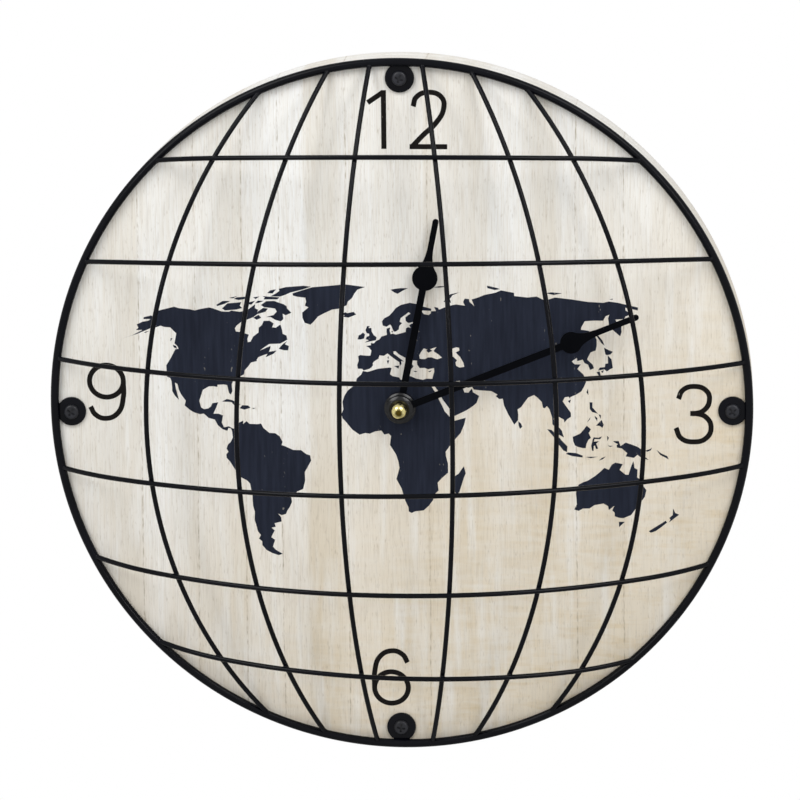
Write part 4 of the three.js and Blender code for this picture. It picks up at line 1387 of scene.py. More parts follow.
@dataclass(frozen=True)
class SpadeHand:
    """A flat spade hand on a round hub, modelled at twelve and turned to its hour."""

    name: str
    node: str
    body: Body
    angle: float
    reach: float
    spade_at: float
    spade: float
    hub: float
    axle: float
    blade_back: float
    spade_steps: int = 20
    waist_steps: int = 12
    tip_steps: int = 8
    root: float = 6.5
    shaft: float = 4.0
    tip: float = 3.4
    taper: float = 17.0
    waist_share: float = 1.2
    blade: float = 1.2
    edge: float = 0.18
    shoulder: float = 1.7
    shoulder_rise: float = 0.9
    hub_step: float = 0.8
    hub_drop: float = 0.5
    hub_sides: int = 64
    hub_rounding: float = 0.2
    hub_steps: int = 3

    def outline(self) -> list[Point]:
        """Draws the blade at twelve.

        Returns:
            Its outline from the root in the hub up the right side, round the tip and down the left.
        """
        spade, half, tip = self.spade / 2, self.shaft / 2, self.tip / 2
        neck = math.acos(half / spade)
        shoulder = spade * math.sqrt(0.5)
        leave = (shoulder, self.spade_at + shoulder)
        pull = (tip * self.waist_share, self.spade_at + spade * self.waist_share)
        right = [(half, self.root)]
        right += arc_points((0, self.spade_at), spade, -neck, math.pi / 4, self.spade_steps)
        right += bend_points(leave, pull, (tip, self.spade_at + self.taper), self.waist_steps)[1:]
        right += arc_points((0, self.reach - tip), tip, 0, math.pi / 2, self.tip_steps)
        return right + [(-across, up) for across, up in reversed(right[:-1])]

    def build(self) -> None:
        """Cuts the blade, turns it to its hour and adds the hub with its sloped shoulder."""
        low, high = clock_box(self.node)
        blade = sheet_piece(
            self.name, [self.outline()], self.blade_back, self.blade_back + self.blade, self.edge)
        rim = high.z - self.shoulder_rise
        hub = drum(f"{self.name}_hub", (0, 0), self.hub / 2, low.z, rim, self.hub_sides)
        with editing(hub, Part.FACES, lambda middle, normal: normal.z > FACING_SHARE):
            bpy.ops.mesh.inset(thickness=self.shoulder * MM, depth=self.shoulder_rise * MM)
            bpy.ops.mesh.inset(thickness=self.hub_step * MM)
            bpy.ops.mesh.extrude_region_move(
                TRANSFORM_OT_translate={"value": place(0, 0, -self.hub_drop)})
        round_edges(hub, lambda middle, direction: is_level(direction) and middle.z > rim - SLACK,
                    self.hub_rounding, self.hub_steps)
        drill(hub, (0, 0), self.axle, low.z - OVERRUN, high.z + OVERRUN)
        blade.data.transform(Matrix.Rotation(math.radians(self.angle), 4, "Y"))
        dress(blade, Slot.HANDS, self.body, self.node)
        dress(hub, Slot.HANDS, self.body, finish=LACQUER)


@dataclass
class HandSet:
    """The two hands and the domed brass nut that holds them."""

    hands: tuple[SpadeHand, ...] = (
        SpadeHand(
            "hour_spade_hand", "hour_hand", Body.HOUR, angle=11.1, reach=111, spade_at=76.4,
            spade=14.4, hub=18, axle=5.4, blade_back=30.9),
        SpadeHand(
            "minute_spade_hand", "minute_hand", Body.MINUTE, angle=68.1, reach=146, spade_at=105,
            spade=12.4, hub=16, axle=3.4, blade_back=35.3),
    )
    nut_sides: int = 64
    dome: float = 3.9
    dome_steps: int = 14
    foot_rounding: float = 0.3
    foot_steps: int = 2
    arbor: float = 3.4
    grip: float = 2.5

    def build(self) -> None:
        """Makes the hands, then the nut."""
        for hand in self.hands:
            hand.build()
        dress(self.cap_nut(), Slot.BRASS, Body.MINUTE, "cap_nut", finish=NUT_BRASS)

    def cap_nut(self) -> Object:
        """Turns the nut with its domed crown and bores it from behind for the arbor.

        Returns:
            The nut.
        """
        low, high = clock_box("cap_nut")
        nut = drum("brass_cap_nut", (0, 0), high.x, low.z, high.z, self.nut_sides)
        round_edges(nut, lambda middle, direction: is_level(direction) and middle.z > high.z - SLACK,
                    self.dome, self.dome_steps)
        round_edges(nut, lambda middle, direction: is_level(direction) and middle.z < low.z + SLACK,
                    self.foot_rounding, self.foot_steps)
        drill(nut, (0, 0), self.arbor, low.z - OVERRUN, low.z + self.grip)
        return nut


# Coasts of the printed map as degrees east and north, each going once round its land
AMERICAS: Outline = (
    (-168, 65.6), (-164.5, 66.5), (-161.8, 66.1), (-163, 67), (-166.5, 68.3), (-163, 69.6),
    (-156.6, 71.3), (-151, 70.4), (-141, 69.6), (-136, 68.9), (-134, 69.6), (-128, 70.5), (-124, 69.9),
    (-115, 68.1), (-109, 67.8), (-108, 68.5), (-101, 67.7), (-96.5, 68.2), (-94.5, 71.9), (-91.7, 69.6),
    (-88, 68.6), (-87.5, 67.3), (-85.5, 69.7), (-81.4, 69.2), (-81.5, 67.4), (-86, 66.3), (-87.2, 64.6),
    (-93.5, 62), (-94.8, 60), (-94.6, 58.7), (-92.5, 57), (-88, 56.5), (-82.5, 55.2), (-82, 53),
    (-80.6, 51.3), (-79, 51.6), (-79, 54.2), (-76.8, 56.2), (-78.5, 58.8), (-77.4, 60.2), (-78, 62.4),
    (-73.8, 62.4), (-70, 61), (-69.5, 58.9), (-66.8, 58.6), (-64.8, 60.3), (-62, 57.6), (-60.2, 55.3),
    (-57.3, 54.4), (-55.7, 52.3), (-59.5, 50.3), (-66.4, 50.2), (-69.5, 48), (-70.5, 47), (-65, 49.2),
    (-64.6, 47.6), (-64.7, 46.2), (-60.2, 46.8), (-61.5, 45.2), (-65.7, 43.5), (-65.2, 45.2),
    (-67.2, 44.7), (-70.2, 43.6), (-70.7, 42.1), (-70, 41.7), (-73.6, 41), (-74.2, 39.6), (-75.9, 37.1),
    (-75.6, 35.2), (-78, 33.9), (-81, 32), (-81.4, 30.4), (-80.1, 26.9), (-80.5, 25.2), (-81.8, 26.1),
    (-82.8, 28), (-83.9, 30), (-86, 30.3), (-89.5, 30.2), (-89.3, 29.1), (-91.5, 29.5), (-94.2, 29.5),
    (-97.2, 27.8), (-97.5, 25), (-97.8, 22.4), (-96.2, 19.2), (-94.4, 18.2), (-91.9, 18.6), (-90.6, 19.6),
    (-90.2, 21.1), (-87, 21.5), (-87.7, 18.8), (-88.8, 15.9), (-86, 15.9), (-83.3, 15), (-83.7, 11.5),
    (-82.2, 9.1), (-79.7, 9.6), (-77, 8.3), (-75.5, 10.6), (-74.3, 11.2), (-71.8, 12.3), (-71.8, 10.6),
    (-70, 12), (-68.3, 10.6), (-64, 10.4), (-61.9, 10.7), (-60.6, 8.6), (-57.2, 6), (-54, 5.8),
    (-51.5, 4.2), (-50, 1.5), (-50.6, -0.1), (-48.2, -0.9), (-44.4, -2.6), (-40, -2.8), (-37.2, -4.8),
    (-35.2, -5.4), (-34.8, -8), (-37.2, -11.4), (-38.9, -13.6), (-39.2, -17.8), (-41, -22),
    (-44.6, -23.2), (-48.5, -25.8), (-48.7, -28.4), (-50.6, -30.9), (-52.2, -32.3), (-53.8, -34.3),
    (-56.5, -34.9), (-58.4, -34), (-57.2, -36), (-57.7, -38.1), (-62.2, -38.9), (-62.3, -40.8),
    (-65, -41.1), (-63.7, -42.6), (-65.3, -44), (-67.5, -46), (-65.8, -47.4), (-67.6, -49.2),
    (-69.2, -50.9), (-68.3, -52.6), (-65.2, -54.7), (-68.3, -55.4), (-71.8, -54.2), (-74.4, -52.6),
    (-75.4, -50), (-74.3, -48), (-75.5, -46.6), (-73.3, -44.8), (-74.1, -42.7), (-73.5, -39.5),
    (-73.4, -37.1), (-71.6, -33), (-71.6, -30), (-70.4, -25), (-70.3, -19), (-71.4, -17.5),
    (-75.4, -15.3), (-77.3, -11.8), (-79.6, -7.8), (-81.2, -6), (-81.3, -4.4), (-80, -2.9), (-80.9, -1.4),
    (-80, 0.7), (-78.6, 1.7), (-77.3, 4), (-77.7, 7), (-78.4, 8.5), (-79.8, 8.8), (-80.4, 7.4),
    (-83, 8.2), (-85.7, 10.2), (-87.6, 13), (-91.2, 13.9), (-94.2, 16.1), (-96.2, 15.8), (-99.8, 16.8),
    (-102.2, 18), (-105.6, 20.2), (-105.5, 22.6), (-109, 25.7), (-111, 28), (-113, 31), (-114.7, 31.6),
    (-112.9, 28.5), (-111, 25.6), (-109.5, 23.1), (-112.2, 25), (-114.6, 27.4), (-115.5, 29.6),
    (-117.1, 32.5), (-118.5, 34), (-120.6, 34.6), (-122.5, 37.6), (-124.3, 40.3), (-124, 44),
    (-124.6, 48.3), (-122.7, 48.6), (-124.6, 49.9), (-127.8, 51.4), (-130.2, 54.6), (-132, 56.6),
    (-136, 58.2), (-140, 59.8), (-144.5, 60.1), (-148, 60.8), (-151.8, 59.3), (-151.2, 61.1),
    (-154.2, 58.9), (-158.3, 56.6), (-164.8, 54.6), (-160.6, 56), (-157.4, 58.7), (-161.9, 58.7),
    (-162, 59.9), (-166, 61.7), (-164.5, 63.1), (-161, 63.7), (-161, 64.5), (-166.3, 64.6),
)
EURASIA_AND_AFRICA: Outline = (
    (-9.2, 43.2), (-8, 43.8), (-4, 43.4), (-1.7, 43.4), (-1.2, 46), (-2.8, 47.5), (-4.7, 48.3),
    (-1.6, 48.7), (-1.8, 49.7), (0.2, 49.6), (1.6, 50.9), (3.6, 51.5), (4.8, 53), (8.5, 53.9),
    (8.2, 55.5), (8.2, 57.1), (10.6, 57.7), (10.2, 56.2), (10.8, 54.2), (12.5, 54.4), (14.3, 53.9),
    (18.5, 54.7), (20.8, 55.2), (21.1, 57), (22.6, 57.7), (24.3, 57.2), (23.6, 58.7), (25.2, 59.5),
    (28, 59.5), (30.2, 59.9), (27, 60.5), (23, 59.9), (21.4, 61), (21.4, 63), (25.3, 65), (24, 65.8),
    (21.7, 64.5), (18, 62.6), (17.2, 60.7), (18.8, 59.9), (16.8, 58.5), (16.3, 56.6), (14.3, 55.5),
    (12.9, 55.5), (11.4, 58.5), (10.6, 59.3), (8, 58.1), (5.6, 58.8), (5, 61), (6.5, 62.7), (10, 64),
    (12.5, 66), (15, 68.3), (19, 70), (25.8, 71.1), (31, 70.3), (33, 69.4), (41, 67.5), (40.5, 66.3),
    (33, 66.7), (34.8, 64.5), (38, 64), (40, 65), (40.2, 66), (44, 66.2), (43.5, 68.5), (46, 68),
    (46.5, 66.9), (53.5, 68.7), (60.5, 69.7), (66.8, 68.9), (66.8, 71), (69.5, 73), (72.7, 72.7),
    (71.8, 71), (73.5, 68.5), (74.5, 72.4), (80.5, 73.5), (87, 75), (98, 76.3), (104.3, 77.7),
    (112.5, 76), (110, 74), (119, 73), (127, 73.5), (129.5, 71), (133, 71.5), (140, 72.7), (150, 71.5),
    (160, 69.8), (170.5, 69.1), (176, 69.8), (181, 69), (190.2, 66.1), (187, 64.5), (181, 66.1),
    (178.5, 64.6), (179.3, 62.6), (173, 61.3), (170.3, 60), (164, 59.8), (162.5, 57.9), (163.2, 56.1),
    (161.8, 55), (159.9, 53.2), (156.7, 51), (155.6, 54), (155.8, 56.8), (160, 60.5), (163.5, 62.4),
    (160, 61.7), (155, 59.3), (148.5, 59.4), (142.5, 59.2), (137, 56.2), (135.2, 54.8), (139.5, 54.1),
    (141.3, 52.3), (140.4, 49.5), (138, 46.5), (135.5, 44), (132, 43.2), (129.7, 41.5), (127.5, 39.6),
    (129.4, 37), (129.2, 35.2), (126.5, 34.4), (126.7, 37), (125, 37.9), (125, 39.6), (121.3, 38.9),
    (122, 40.5), (119, 39.3), (118, 38.7), (119, 37.3), (122.5, 37.2), (119.4, 35), (121.7, 32.2),
    (121.8, 30.6), (121.7, 28.5), (119.8, 26.3), (117.5, 23.9), (114.2, 22.4), (110.6, 21.2),
    (110.2, 20.4), (109.7, 21.4), (107.5, 21.2), (105.8, 19.2), (107, 17), (109.2, 13.5), (109, 11.5),
    (106.7, 10.3), (105, 8.7), (104.9, 10.2), (103, 11.2), (101, 12.7), (100.3, 13.4), (99.3, 10.3),
    (100.3, 8.2), (103.2, 4.8), (104.2, 1.4), (101.3, 2.9), (100.3, 6), (98.4, 8), (98.6, 11.5),
    (97.7, 15.5), (96.6, 17), (95.3, 15.9), (94.3, 16.2), (94.2, 19), (92, 21.4), (90.5, 22.5),
    (87, 21.3), (85.2, 19.6), (82.3, 16.7), (80.2, 15.6), (80.2, 13), (79.8, 10.3), (77.5, 8.1),
    (76.2, 10.5), (74.8, 13), (73, 17.5), (72.7, 21), (70.8, 20.8), (69, 22.3), (70.3, 23), (67, 24.8),
    (61.6, 25.2), (57.3, 25.7), (56.5, 27), (54, 26.6), (51.5, 27.9), (50, 30.1), (48, 30), (48.6, 28.1),
    (50.2, 26.3), (51.3, 26.1), (51.7, 24.4), (54, 24.2), (56.2, 26.2), (56.6, 24.4), (59.8, 22.5),
    (57.8, 19), (55.2, 17.3), (52, 15.6), (45, 12.8), (43.3, 12.8), (42.7, 16.3), (39.2, 21), (37.2, 25),
    (34.9, 28.2), (34.4, 27.8), (32.8, 29.9), (33.7, 27.3), (35.7, 24), (37.2, 20.8), (38.6, 18),
    (39.7, 15.3), (43.1, 11.7), (44.5, 10.4), (51.2, 11.9), (50, 8.5), (47.8, 4.3), (43, -0.2),
    (39.3, -4.7), (39.5, -7), (40.5, -10.5), (40.6, -15), (36.9, -17.9), (34.8, -20), (35.4, -23.8),
    (32.8, -26), (32.4, -28.5), (30, -31.3), (27, -33.6), (22, -34), (20, -34.8), (18.3, -34),
    (18.2, -32), (16.4, -28.6), (14.5, -22.5), (11.8, -17.8), (13.7, -12.3), (13.2, -9), (12, -5.5),
    (8.9, -0.9), (9.7, 3.5), (8.5, 4.7), (6, 4.3), (4.4, 6.3), (1, 5.9), (-2, 4.8), (-4.5, 5.2),
    (-7.6, 4.4), (-11.4, 6.9), (-13.3, 9), (-15, 10.9), (-16.8, 12.6), (-17.5, 14.7), (-16.4, 17),
    (-17, 20.8), (-16, 23.7), (-14.2, 26.3), (-11.3, 28.3), (-9.8, 30), (-9.2, 32.3), (-6.8, 34),
    (-5.9, 35.8), (-3, 35.3), (-1, 35.8), (3, 36.8), (9.8, 37.3), (11, 37), (10.4, 35.2), (10, 34),
    (11.5, 33), (15.2, 32.3), (16, 31.2), (19, 30.3), (20.2, 31.9), (21.7, 32.9), (25, 31.6), (29, 30.9),
    (31, 31.5), (34.3, 31.3), (35.9, 35), (36, 36.7), (32.5, 36.1), (30.6, 36.8), (27.6, 36.8),
    (26.4, 38.3), (26.2, 39.6), (26.4, 40.5), (24, 40.7), (22.8, 40.4), (23, 39), (24, 37.8),
    (22.9, 36.5), (21.5, 37), (21.1, 38.3), (19.4, 40.5), (19.5, 42), (15.5, 43.9), (13.6, 45.5),
    (12.3, 45.2), (12.5, 44.1), (13.7, 43.4), (16.1, 41.8), (18.4, 40.2), (16.8, 40.4), (17, 39),
    (15.9, 38), (15.7, 39.9), (13.5, 41.2), (10.4, 43.2), (8.8, 44.4), (6.5, 43.2), (3.8, 43.5),
    (3.2, 41.8), (0.4, 40.4), (-0.3, 39.3), (0.1, 38.7), (-0.8, 37.6), (-2.2, 36.8), (-5.4, 36.1),
    (-6.4, 36.9), (-8.9, 37), (-9.4, 38.7), (-8.7, 41),
)
INLAND_SEAS: tuple[Outline, ...] = (
    (
        (28.1, 41.5), (27.9, 43.2), (29.6, 45.2), (31.2, 46.6), (33.4, 46), (32.6, 45.4), (33.7, 44.4),
        (35.4, 45), (36.4, 45.2), (34.9, 46.1), (37.5, 46.8), (39.2, 47.1), (37.8, 46), (37, 45.1),
        (39.7, 43.4), (41.6, 41.8), (38.5, 41), (35.2, 42), (33, 42), (31.2, 41.2), (29, 41.3),
    ),
    (
        (46.9, 44.8), (49, 46.3), (51.5, 46.9), (53, 46.6), (52.9, 45.2), (51, 44.5), (50.4, 44.3),
        (52.6, 41.8), (53.8, 39), (53.9, 37), (51, 36.7), (49.2, 37.6), (49.1, 39.3), (50.3, 40.3),
        (48.6, 41.9), (47.5, 43),
    ),
)
ISLANDS: dict[str, Outline] = {
    "greenland": (
        (-72.5, 78.2), (-67, 80), (-60, 82), (-45, 82.8), (-32, 83.6), (-22, 82.6), (-12, 81.5),
        (-18, 79.8), (-19.5, 77), (-20, 74.6), (-22.5, 72.5), (-22.4, 70.4), (-27, 68.5), (-32.5, 68),
        (-38, 65.7), (-40.8, 64.3), (-42.6, 61.3), (-44, 59.9), (-48.4, 61), (-51.6, 63.8), (-53.6, 66.6),
        (-51, 69.5), (-54.6, 70.6), (-55.5, 72.8), (-58.5, 75.3), (-66, 76), (-70.5, 76.8)),
    "iceland": (
        (-24.3, 65.5), (-22, 66.4), (-20.5, 65.8), (-16, 66.5), (-13.7, 65), (-18.8, 63.4), (-22.6, 63.9),
        (-22, 64.7)),
    "great_britain": (
        (-5.7, 50.1), (1.4, 51.2), (1.7, 52.7), (-0.2, 53.9), (-1.6, 55.6), (-2, 57.6), (-4, 57.6),
        (-3.1, 58.6), (-5, 58.6), (-5.8, 56.5), (-4.8, 54.9), (-3.2, 54.6), (-3, 53.5), (-4.6, 53.1),
        (-5.2, 51.8), (-3.2, 51.3)),
    "ireland": (
        (-6.3, 52.2), (-5.9, 54.3), (-7.4, 55.3), (-8.6, 54.3), (-10, 53.8), (-10.3, 51.8), (-8.3, 51.7)),
    "zealand": ((11.2, 55.6), (12.4, 56), (12.1, 55)),
    "spitsbergen": ((11, 79.4), (16, 80), (20, 80.3), (26.5, 80.2), (21.5, 78.6), (17, 76.7), (14, 77.7)),
    "novaya_zemlya": (
        (52, 71.4), (55.5, 73.5), (60, 75.8), (68.5, 76.9), (61.5, 75.2), (57.8, 73), (57.4, 70.7)),
    "franz_josef": ((48, 80.5), (56, 81.2), (62, 80.8), (54, 80.2)),
    "severnaya_zemlya": ((95, 79.3), (97, 80.9), (103, 79.4), (104.8, 78.5), (99.5, 78)),
    "new_siberian": ((137.5, 75.4), (143, 75.9), (150.5, 75.2), (142, 74.2)),
    "wrangel": ((178.7, 71), (182.4, 71.4), (181, 70.8)),
    "sakhalin": ((142.5, 54.3), (143.3, 52), (143.6, 49), (142.8, 46.4), (141.9, 47.5), (142, 51)),
    "hokkaido": ((140, 42), (141.6, 45.4), (143.5, 44.1), (145.4, 43.3), (143.2, 42), (140.7, 41.6)),
    "honshu": (
        (141, 41.4), (142, 39.5), (140.9, 37), (140.2, 35.2), (138.2, 34.6), (135.8, 33.5), (135, 34.6),
        (131, 34), (132.7, 35.5), (135.8, 35.7), (137, 37.3), (138.7, 37.5), (140, 39.8)),
    "kyushu": ((129.8, 33.3), (131.7, 33.6), (131.4, 31.5), (130.2, 31.2)),
    "shikoku": ((132.4, 33.5), (134.4, 34.2), (133.1, 32.8)),
    "taiwan": ((121.6, 25.2), (120.9, 22), (120.2, 23.4)),
    "hainan": ((108.7, 19.3), (110.6, 20), (109.6, 18.2)),
    "luzon": ((120.6, 18.5), (122.2, 18.4), (121.6, 15.9), (124, 12.8), (121, 13.7), (120, 15.2)),
    "samar": ((124.3, 12.5), (125.5, 12.1), (125.1, 10.2)),
    "panay": ((122, 11.8), (123.4, 10.6), (123, 9.1), (122.2, 10.6)),
    "mindanao": ((122.1, 7), (123.8, 8.3), (125.5, 9.7), (126.4, 7.3), (125.5, 5.8), (124, 6.8)),
    "palawan": ((117.2, 8.4), (119.6, 11.2), (119.2, 10.1)),
    "borneo": (
        (109, 1.6), (111.4, 2.5), (113.2, 3.2), (115.6, 5.5), (117, 7), (119.2, 5.2), (117.8, 3.4),
        (118.9, 1), (117.5, 0), (116.4, -2), (116, -4), (114.4, -4), (111.8, -3.4), (110.1, -2.6),
        (109.2, -0.5)),
    "sulawesi": (
        (119.8, 0), (120.4, 1.2), (123, 1), (125, 1.6), (124, 0.3), (120.9, 0.4), (120.4, -0.9),
        (123.3, -0.7), (121.7, -1.9), (122.8, -4.3), (121.6, -4.6), (121, -2.8), (120.4, -3),
        (120.3, -5.5), (119.5, -5.4), (119, -3)),
    "sumatra": (
        (95.3, 5.6), (97.6, 5.2), (100.4, 2.7), (103.6, -0.8), (106, -3), (105.8, -5.8), (103.8, -5),
        (100.4, -1), (98.6, 1.8)),
    "java": ((105.2, -6.7), (106.5, -6), (110.8, -6.4), (114.5, -7.7), (114.4, -8.6), (108.5, -7.8)),
    "flores": ((116, -8.4), (119, -8.3), (122.8, -8.4), (119, -9)),
    "timor": ((123.5, -10.3), (125, -9), (127.2, -8.3), (125.6, -9.6)),
    "halmahera": ((127.7, 1.9), (128.7, 0.9), (127.9, -0.7)),
    "seram": ((128, -3), (130.8, -3.2), (129.4, -3.6)),
    "new_guinea": (
        (131, -0.8), (134, -0.8), (135, -3.3), (137.8, -1.6), (141, -2.6), (144.6, -3.9), (147.5, -6),
        (147.9, -8.2), (150.8, -10.3), (147, -9.5), (144.5, -7.7), (142.6, -9.2), (138, -8.4),
        (138.8, -6.8), (135.6, -4.4), (133, -4), (132.9, -2.8), (133.7, -2.3), (131.8, -1.5)),
    "new_britain": ((148.4, -5.7), (151.2, -5), (152.2, -4.2), (151.6, -5.6), (149.6, -6.3)),
    "solomons": ((154.7, -5.5), (157.5, -7.3), (160.8, -8.6), (161.8, -10.2), (157, -8)),
    "sri_lanka": ((79.9, 9.7), (81.3, 8.5), (81.8, 7), (80.5, 6), (79.8, 7.6)),
    "madagascar": (
        (49.3, -12), (50.4, -15.5), (49.4, -17.8), (47.1, -25), (45.2, -25.5), (43.4, -22.6), (44.4, -20),
        (44, -17), (46.4, -15.7), (48, -13.6)),
    "australia": (
        (114, -22), (113.5, -26), (115.7, -31.8), (115.1, -34.3), (118, -35), (120, -33.9),
        (123.8, -33.9), (126, -32.3), (131, -31.5), (134.2, -32.9), (135.5, -34.8), (137.8, -32.7),
        (137.6, -35), (139.6, -36.2), (140.6, -38), (143.5, -38.8), (146.3, -39), (150, -37.5),
        (151.3, -33.5), (153.5, -28.5), (153.1, -25.2), (150.8, -23.3), (149, -20.5), (146, -18.8),
        (145.4, -15), (143.6, -14.2), (142.5, -10.8), (141.6, -13.5), (140.9, -17.5), (139.2, -17.4),
        (135.5, -15), (136.8, -12.2), (132.7, -11.4), (130.8, -12.4), (129.5, -14.9), (127, -13.9),
        (124.5, -16.2), (122.2, -18), (119, -20), (116.5, -20.8)),
    "tasmania": ((144.7, -40.8), (148.3, -40.9), (146.6, -43.5)),
    "north_island": (
        (172.8, -34.5), (175.6, -36.8), (178.5, -37.7), (177, -39.4), (175.3, -41.6), (175.1, -40.1),
        (173.8, -39.3), (174.8, -37.8)),
    "south_island": (
        (172.7, -40.6), (174.2, -41.6), (172.7, -43.7), (170.8, -45.8), (168.5, -46.6), (166.6, -45.8)),
    "cuba": ((-84.9, 21.9), (-82.4, 23.1), (-79, 22.4), (-74.2, 20.2), (-77.6, 19.9), (-79.5, 21.5)),
    "hispaniola": ((-74.4, 18.4), (-73.2, 19.9), (-69.9, 19.7), (-68.4, 18.6), (-71.6, 17.7)),
    "puerto_rico": ((-67.2, 18.5), (-65.6, 18.3), (-67, 17.9)),
    "sicily": ((12.5, 38), (15.6, 38.2), (15.1, 36.7)),
    "sardinia": ((8.2, 40.8), (9.7, 41), (9, 39)),
    "corsica": ((8.6, 42.4), (9.4, 43), (9.3, 41.4)),
    "crete": ((23.5, 35.5), (26.3, 35.2), (24.8, 34.8)),
    "cyprus": ((32.3, 35), (34.5, 35.6), (33.4, 34.6)),
    "newfoundland": (
        (-59.2, 47.7), (-57.6, 50), (-55.6, 51.5), (-56.2, 49.9), (-53.4, 49), (-53, 46.8),
        (-55.8, 46.9)),
    "vancouver": ((-128.2, 50.7), (-125.4, 50), (-123.6, 48.5), (-126.5, 49.4)),
    "haida_gwaii": ((-133, 54.1), (-131.7, 54), (-131.2, 52.3)),
    "kodiak": ((-154.6, 57.4), (-152.2, 58.3), (-153.3, 57.1)),
    "banks": ((-125, 72), (-124, 74.2), (-117.8, 74.1), (-119.5, 72.4), (-123, 71.2)),
    "victoria": (
        (-117.5, 72.7), (-112, 73), (-107.5, 73.3), (-105.5, 71.2), (-101.6, 69.8), (-105, 69),
        (-113, 68.6), (-117, 69.8)),
    "prince_of_wales": ((-102, 73), (-97.4, 73.9), (-97.2, 71.7), (-101, 72)),
    "somerset": ((-95.5, 74), (-90.3, 73.8), (-92.7, 72.7), (-95.3, 72.4)),
    "baffin": (
        (-89.4, 71.4), (-88, 73.6), (-82, 73.7), (-78, 72.8), (-72, 71.6), (-68.4, 70.4), (-67, 69.2),
        (-61.6, 66.6), (-64.6, 65.3), (-67.6, 66.2), (-64.8, 63.3), (-65.6, 62), (-70, 62.8),
        (-74.6, 64.4), (-78, 64.5), (-73.6, 65.5), (-73, 67.4), (-76, 69.2), (-82, 69.8), (-85, 70)),
    "melville": ((-117, 75.3), (-116.4, 76.3), (-108.5, 76.6), (-105.8, 75.3), (-112, 74.6)),
    "prince_patrick": ((-122.4, 76), (-117.5, 77.1), (-118.4, 75.7)),
    "bathurst": ((-102.5, 76.1), (-98, 76.6), (-98.6, 75)),
    "devon": ((-96, 76.8), (-91, 76.4), (-80.4, 75.8), (-80.4, 74.6), (-91.8, 74.7), (-92.6, 75.9)),
    "axel_heiberg": ((-95.5, 80.4), (-91.4, 81), (-90, 78.4), (-95, 78.6)),
    "ellesmere": (
        (-88.8, 76.5), (-80.5, 76.3), (-77.8, 77.2), (-75, 78.8), (-67, 80.6), (-62, 82.4), (-70, 83.1),
        (-85, 82.4), (-89.5, 81.3), (-86.5, 80), (-87, 78.2)),
    "southampton": ((-87, 64.2), (-84.8, 65.8), (-81.2, 64.1), (-83.5, 63.1)),
}


@dataclass(frozen=True)
class Stroke:
    """One pen stroke of a numeral: its centre line, in shares of half the numeral's height."""

    points: Outline
    curved: bool = True
    closed: bool = False


